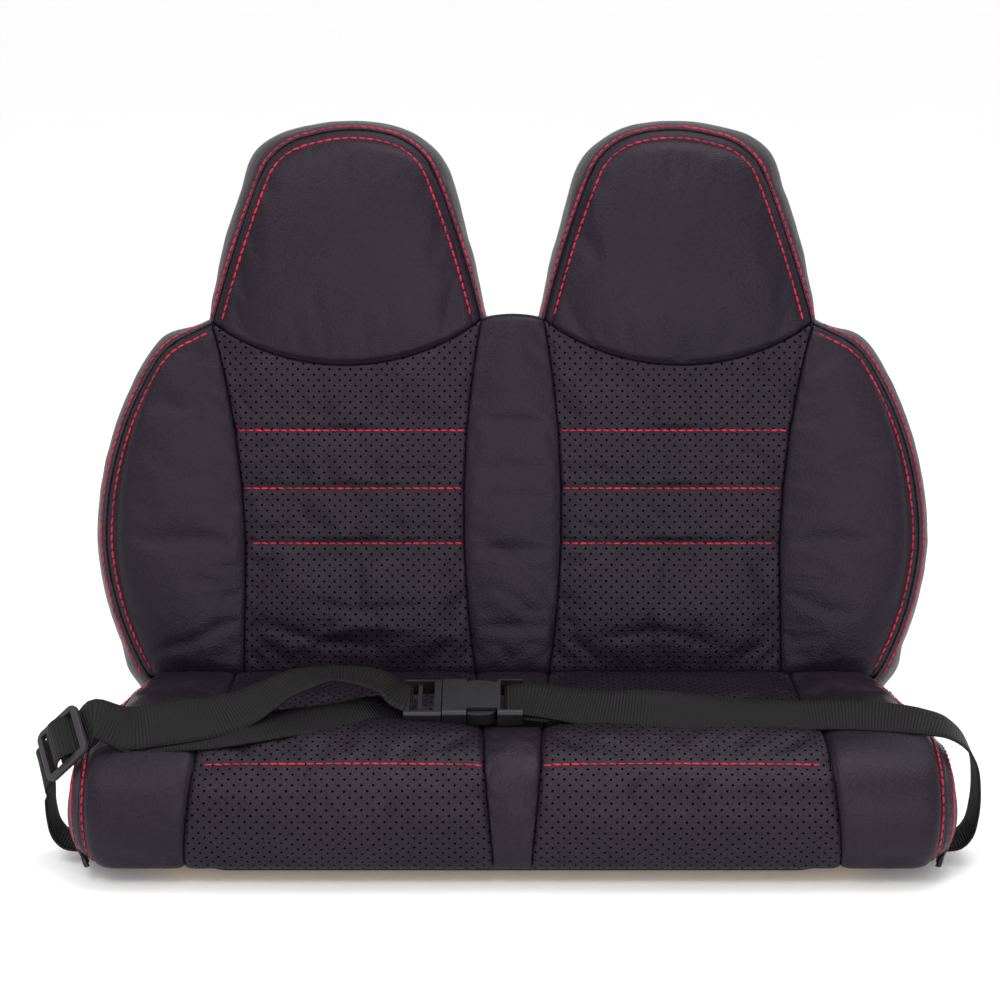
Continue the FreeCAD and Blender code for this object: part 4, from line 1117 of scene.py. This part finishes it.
def left_belt():
    """Stations of the left-hand webbing: anchor, tri-glide, plug bar, then the tri-glide's centre bar."""
    hang = [(Vector((-x, y, z)), Vector((0, -1, 0))) for x, y, z in reversed(HANGING)]
    thread = [glide_point(*place) for place in ((-26, -4.6), (-14.8, -3.5), (-3.8, 5.2), (3.8, 5.2),
                                                (14.8, -3.5), (27, -3.8))]
    back = [glide_point(*place) for place in ((27, -7), (14, -5.5))]
    return (hang + thread + stations(UPPER_ROUTE)[::-1] + round_bar(-36, buckle_point, 90, -90)
            + stations(LOWER_ROUTE) + back + round_bar(0, glide_point, -90, -300))


def eased(points):
    """A smooth run of stations every few millimetres through the given ones."""
    found = []
    last = len(points) - 1
    for k in range(last):
        four = [points[max(k - 1, 0)], points[k], points[k + 1], points[min(k + 2, last)]]
        knots = [0.0]
        for (one, _), (two, _) in zip(four, four[1:]):
            knots.append(knots[-1] + max((two - one).length, 1e-3) ** 0.5)
        count = max(1, round((four[2][0] - four[1][0]).length / 2.5))
        for step in range(count):
            where = knots[1] + (knots[2] - knots[1]) * step / count
            found.append(tuple(spline([item[part] for item in four], knots, where) for part in (0, 1)))
    return found + [points[-1]]


def spline(values, knots, where):
    """Catmull-Rom value through four vectors at uneven knots."""
    level = list(values)
    for size in (1, 2):
        level = [one.lerp(two, (where - knots[k]) / (knots[k + size] - knots[k]))
                 for k, (one, two) in enumerate(zip(level, level[1:]))]
    return level[0].lerp(level[1], (where - knots[1]) / (knots[2] - knots[1]))


def webbing(name, points, material):
    """Flat webbing along stations: a strip with softly curved width, thickened both ways."""
    settings = bpy.context.scene.seat_belt
    run = eased(points)
    rows = 7
    mesh, verts = grid_mesh(rows, len(run))
    far = lengths([point for point, _ in run])
    places = {}
    for (j, i), vert in verts.items():
        ahead = run[min(i + 1, len(run) - 1)][0] - run[max(i - 1, 0)][0]
        across = (run[i][1] - ahead * (run[i][1].dot(ahead) / ahead.length_squared)).normalized()
        up = across.cross(ahead).normalized()
        side = j / (rows - 1) - 0.5
        dish = 0.35 * noise.noise(Vector((far[i] * 0.03, side * 2, len(run))))
        vert.co = (run[i][0] + across * side * settings.width / MM + up * dish) * MM
        places[vert] = (far[i] * MM, side * settings.width)
    set_flat(mesh, places)
    made = make_object(name, mesh, material)
    wall = made.modifiers.new("Thickness", "SOLIDIFY")
    wall.thickness = settings.thickness
    wall.offset = 0.0
    return made


# ---------------------------------------------------------------- stage

# Studio lamps: name, place and width in metres, power in watts.
LAMPS = (("key", (-0.6, -1.2, 1.7), 0.7, 13), ("top", (0.3, 0.0, 1.7), 1.0, 14),
         ("fill", (0.3, -1.7, 0.45), 0.6, 9))


def set_camera(stage, aim):
    """The camera, looking at the middle of the back."""
    away = Vector((0, -math.cos(stage.elevation), math.sin(stage.elevation)))
    camera = bpy.data.objects.new("camera", bpy.data.cameras.new("camera"))
    bpy.context.scene.collection.objects.link(camera)
    camera.location = aim + away * stage.distance
    camera.rotation_euler = (math.pi / 2 - stage.elevation, 0, 0)
    camera.data.lens = stage.lens
    camera.data.shift_x = stage.shift
    camera.data.clip_end = 80
    bpy.context.scene.camera = camera


def lay_floor(stage):
    """A pale painted floor under the seat."""
    material, tree, shader = new_material("painted_floor", Roughness=0.7)
    cloud = noise_at(tree, within(tree), 3.0, 2.0)
    wire(tree, shader, {"Base Color": mix_colour(tree, cloud, linear(stage.floor_colour), linear("fcfcfc"))})
    mesh = bmesh.new()
    bmesh.ops.create_grid(mesh, x_segments=1, y_segments=1, size=25.0)
    bmesh.ops.translate(mesh, verts=mesh.verts, vec=(0, 0, CAD_BOX[0][2]))
    floor = make_object("floor", mesh, material)


def light_studio(aim):
    """A white surround and three soft lamps turned to the seat."""
    scene = bpy.context.scene
    world = bpy.data.worlds.new("studio")
    world.use_nodes = True
    background = world.node_tree.nodes["Background"]
    background.inputs["Color"].default_value = (1.0, 1.0, 1.0, 1.0)
    background.inputs["Strength"].default_value = 1.0
    scene.world = world
    scene.view_settings.view_transform = "Standard"
    for name, place, size, power in LAMPS:
        lamp = bpy.data.objects.new(name, bpy.data.lights.new(name, "AREA"))
        scene.collection.objects.link(lamp)
        lamp.location = place
        lamp.rotation_euler = (aim - Vector(place)).to_track_quat("-Z", "Y").to_euler()
        lamp.data.size = size
        lamp.data.energy = power


# ---------------------------------------------------------------- operators

class SEAT_OT_panels(bpy.types.Operator):
    """Sew the panels of the back and the seat, and let the padding swell them"""
    bl_idname = "seat.panels"
    bl_label = "Sewn panels"

    def execute(self, context):
        finishes = {"plain": leather("grained_pvc_leather"),
                    "perforated": leather("perforated_pvc_leather", True)}
        made = {}
        for group in (back_panels(), seat_panels()):
            for name, (panel, kind, node, fill) in group.items():
                flip = panel.surface is seat_point
                made[name] = (build_panel(name, panel, finishes[kind], flip), kind, node, fill)
        swell([item[0] for item in made.values()], context.scene.seat_leather.pressure, 5 * MM)
        for target, kind, node, fill in made.values():
            fold(target, FOLDS.get(target.name, ()))
            finish_leather(target, [node])
        return {"FINISHED"}


class SEAT_OT_foam(bpy.types.Operator):
    """Fill the seat, the back, the wings and the headrests with foam"""
    bl_idname = "seat.foam"
    bl_label = "Foam"

    def execute(self, context):
        finish = foam_material()
        for name, (panel, depth, node) in foam_panels().items():
            foam_block(name, panel, depth, finish, node)
        return {"FINISHED"}


class SEAT_OT_bands(bpy.types.Operator):
    """Sew the side bands of the back and the seat"""
    bl_idname = "seat.bands"
    bl_label = "Side bands"

    def execute(self, context):
        finish = leather("gusset_pvc_leather", gloss_level=0.34)
        wing = WING_SIDE[:-1] + wing_line()
        for hand, sign in HANDS:
            for name, line, flare, node in (("wing_band_", wing, WING_FLARE, "gusset_wing_"),
                                            ("headrest_band_", head_line(), HEAD_FLARE, "gusset_headrest_")):
                if sign < 0:
                    total = lengths(line)[-1]
                    line = mirrored(line)[::-1]
                    flare = tuple((total - far, wide) for far, wide in reversed(flare))
                band(name + hand, line, flare, finish, [node + hand])
            seat_band("seat_band_" + hand, sign, finish, "cover_seat_gusset_" + hand)
        band("valley_band", VALLEY_TOP[::-1], VALLEY_FLARE, finish, ["gusset_valley"])
        return {"FINISHED"}


class SEAT_OT_stitches(bpy.types.Operator):
    """Topstitch the seams and the channels"""
    bl_idname = "seat.stitches"
    bl_label = "Topstitching"

    def execute(self, context):
        settings = context.scene.seat_stitch
        red = thread("bonded_polyester_thread", settings.colour)
        for hand, sign in HANDS:
            for name, (guides, under) in {**back_rows(sign), **seat_rows(sign)}.items():
                sew(name, guides, trees(under), settings, red, name)
        return {"FINISHED"}


class SEAT_OT_belt(bpy.types.Operator):
    """Thread the lap belt through its buckle and its adjuster"""
    bl_idname = "seat.belt"
    bl_label = "Lap belt"

    def execute(self, context):
        weave = webbing_material()
        left = webbing("belt_webbing_left", left_belt(), weave)
        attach(left, BODY)
        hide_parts("belt_strap_left")
        right = webbing("belt_webbing_right", right_belt(), weave)
        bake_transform(right)
        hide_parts("belt_strap_right")
        return {"FINISHED"}


class SEAT_OT_hard_parts(bpy.types.Operator):
    """Give the boards, mouldings, fixings, buckle and adjuster their finishes"""
    bl_idname = "seat.hard_parts"
    bl_label = "Hard parts"

    def execute(self, context):
        belt = context.scene.seat_belt
        finishes = {
            "tray_plastic": moulding("moulded_polypropylene", "26262a", 0.55, 0.0009, 0.00025),
            "cover_plastic": moulding("moulded_abs", "1f1f22", 0.5, 0.0012, 0.0003),
            "plywood": plywood(),
            "zinc_steel": zinc_steel(),
            "buckle_plastic": moulding("moulded_acetal", belt.buckle_colour, 0.4, 0.0008, 0.0001),
            "glide_plastic": moulding("moulded_acetal_grey", belt.glide_colour, 0.5, 0.0006, 0.00015),
        }
        for entry in frame["record"]["subparts"]:
            finish = finishes.get(entry["material_slot"])
            if finish is not None:
                holder = CAD[entry["node"]]
                holder.data.materials.clear()
                holder.data.materials.append(finish)
        return {"FINISHED"}


class SEAT_OT_stage(bpy.types.Operator):
    """Set up the camera, the pale floor and the soft studio light"""
    bl_idname = "seat.stage"
    bl_label = "Stage"

    def execute(self, context):
        stage = context.scene.seat_stage
        aim = back_point(0, 116, 0)
        set_camera(stage, aim)
        lay_floor(stage)
        light_studio(aim)
        return {"FINISHED"}


class SEAT_PT_panel(bpy.types.Panel):
    """Lists the steps that build the seat"""
    bl_label = "Twin bench seat"
    bl_idname = "SEAT_PT_panel"
    bl_space_type = "VIEW_3D"
    bl_region_type = "UI"
    bl_category = "Seat"

    def draw(self, context):
        for step in STEPS:
            self.layout.operator(step.bl_idname)
        for group in SETTINGS:
            box = self.layout.box()
            for key in group[1].__annotations__:
                box.prop(getattr(context.scene, group[0]), key)


STEPS = (SEAT_OT_stage, SEAT_OT_hard_parts, SEAT_OT_foam, SEAT_OT_panels, SEAT_OT_bands, SEAT_OT_stitches,
         SEAT_OT_belt)
SETTINGS = (("seat_leather", LeatherSettings), ("seat_stitch", StitchSettings), ("seat_belt", BeltSettings),
            ("seat_stage", StageSettings))
CLASSES = tuple(group[1] for group in SETTINGS) + STEPS + (SEAT_PT_panel,)


def register():
    """Add the classes and the settings."""
    for item in CLASSES:
        bpy.utils.register_class(item)
    for name, group in SETTINGS:
        setattr(bpy.types.Scene, name, PointerProperty(type=group))


def unregister():
    """Take the settings and the classes away again."""
    for name, _ in SETTINGS:
        delattr(bpy.types.Scene, name)
    for item in reversed(CLASSES):
        bpy.utils.unregister_class(item)


def main():
    """Build the whole seat."""
    register()
    bpy.ops.seat.stage()
    bpy.ops.seat.hard_parts()
    bpy.ops.seat.foam()
    bpy.ops.seat.panels()
    bpy.ops.seat.bands()
    bpy.ops.seat.stitches()
    bpy.ops.seat.belt()


if __name__ == "__main__":
    main()
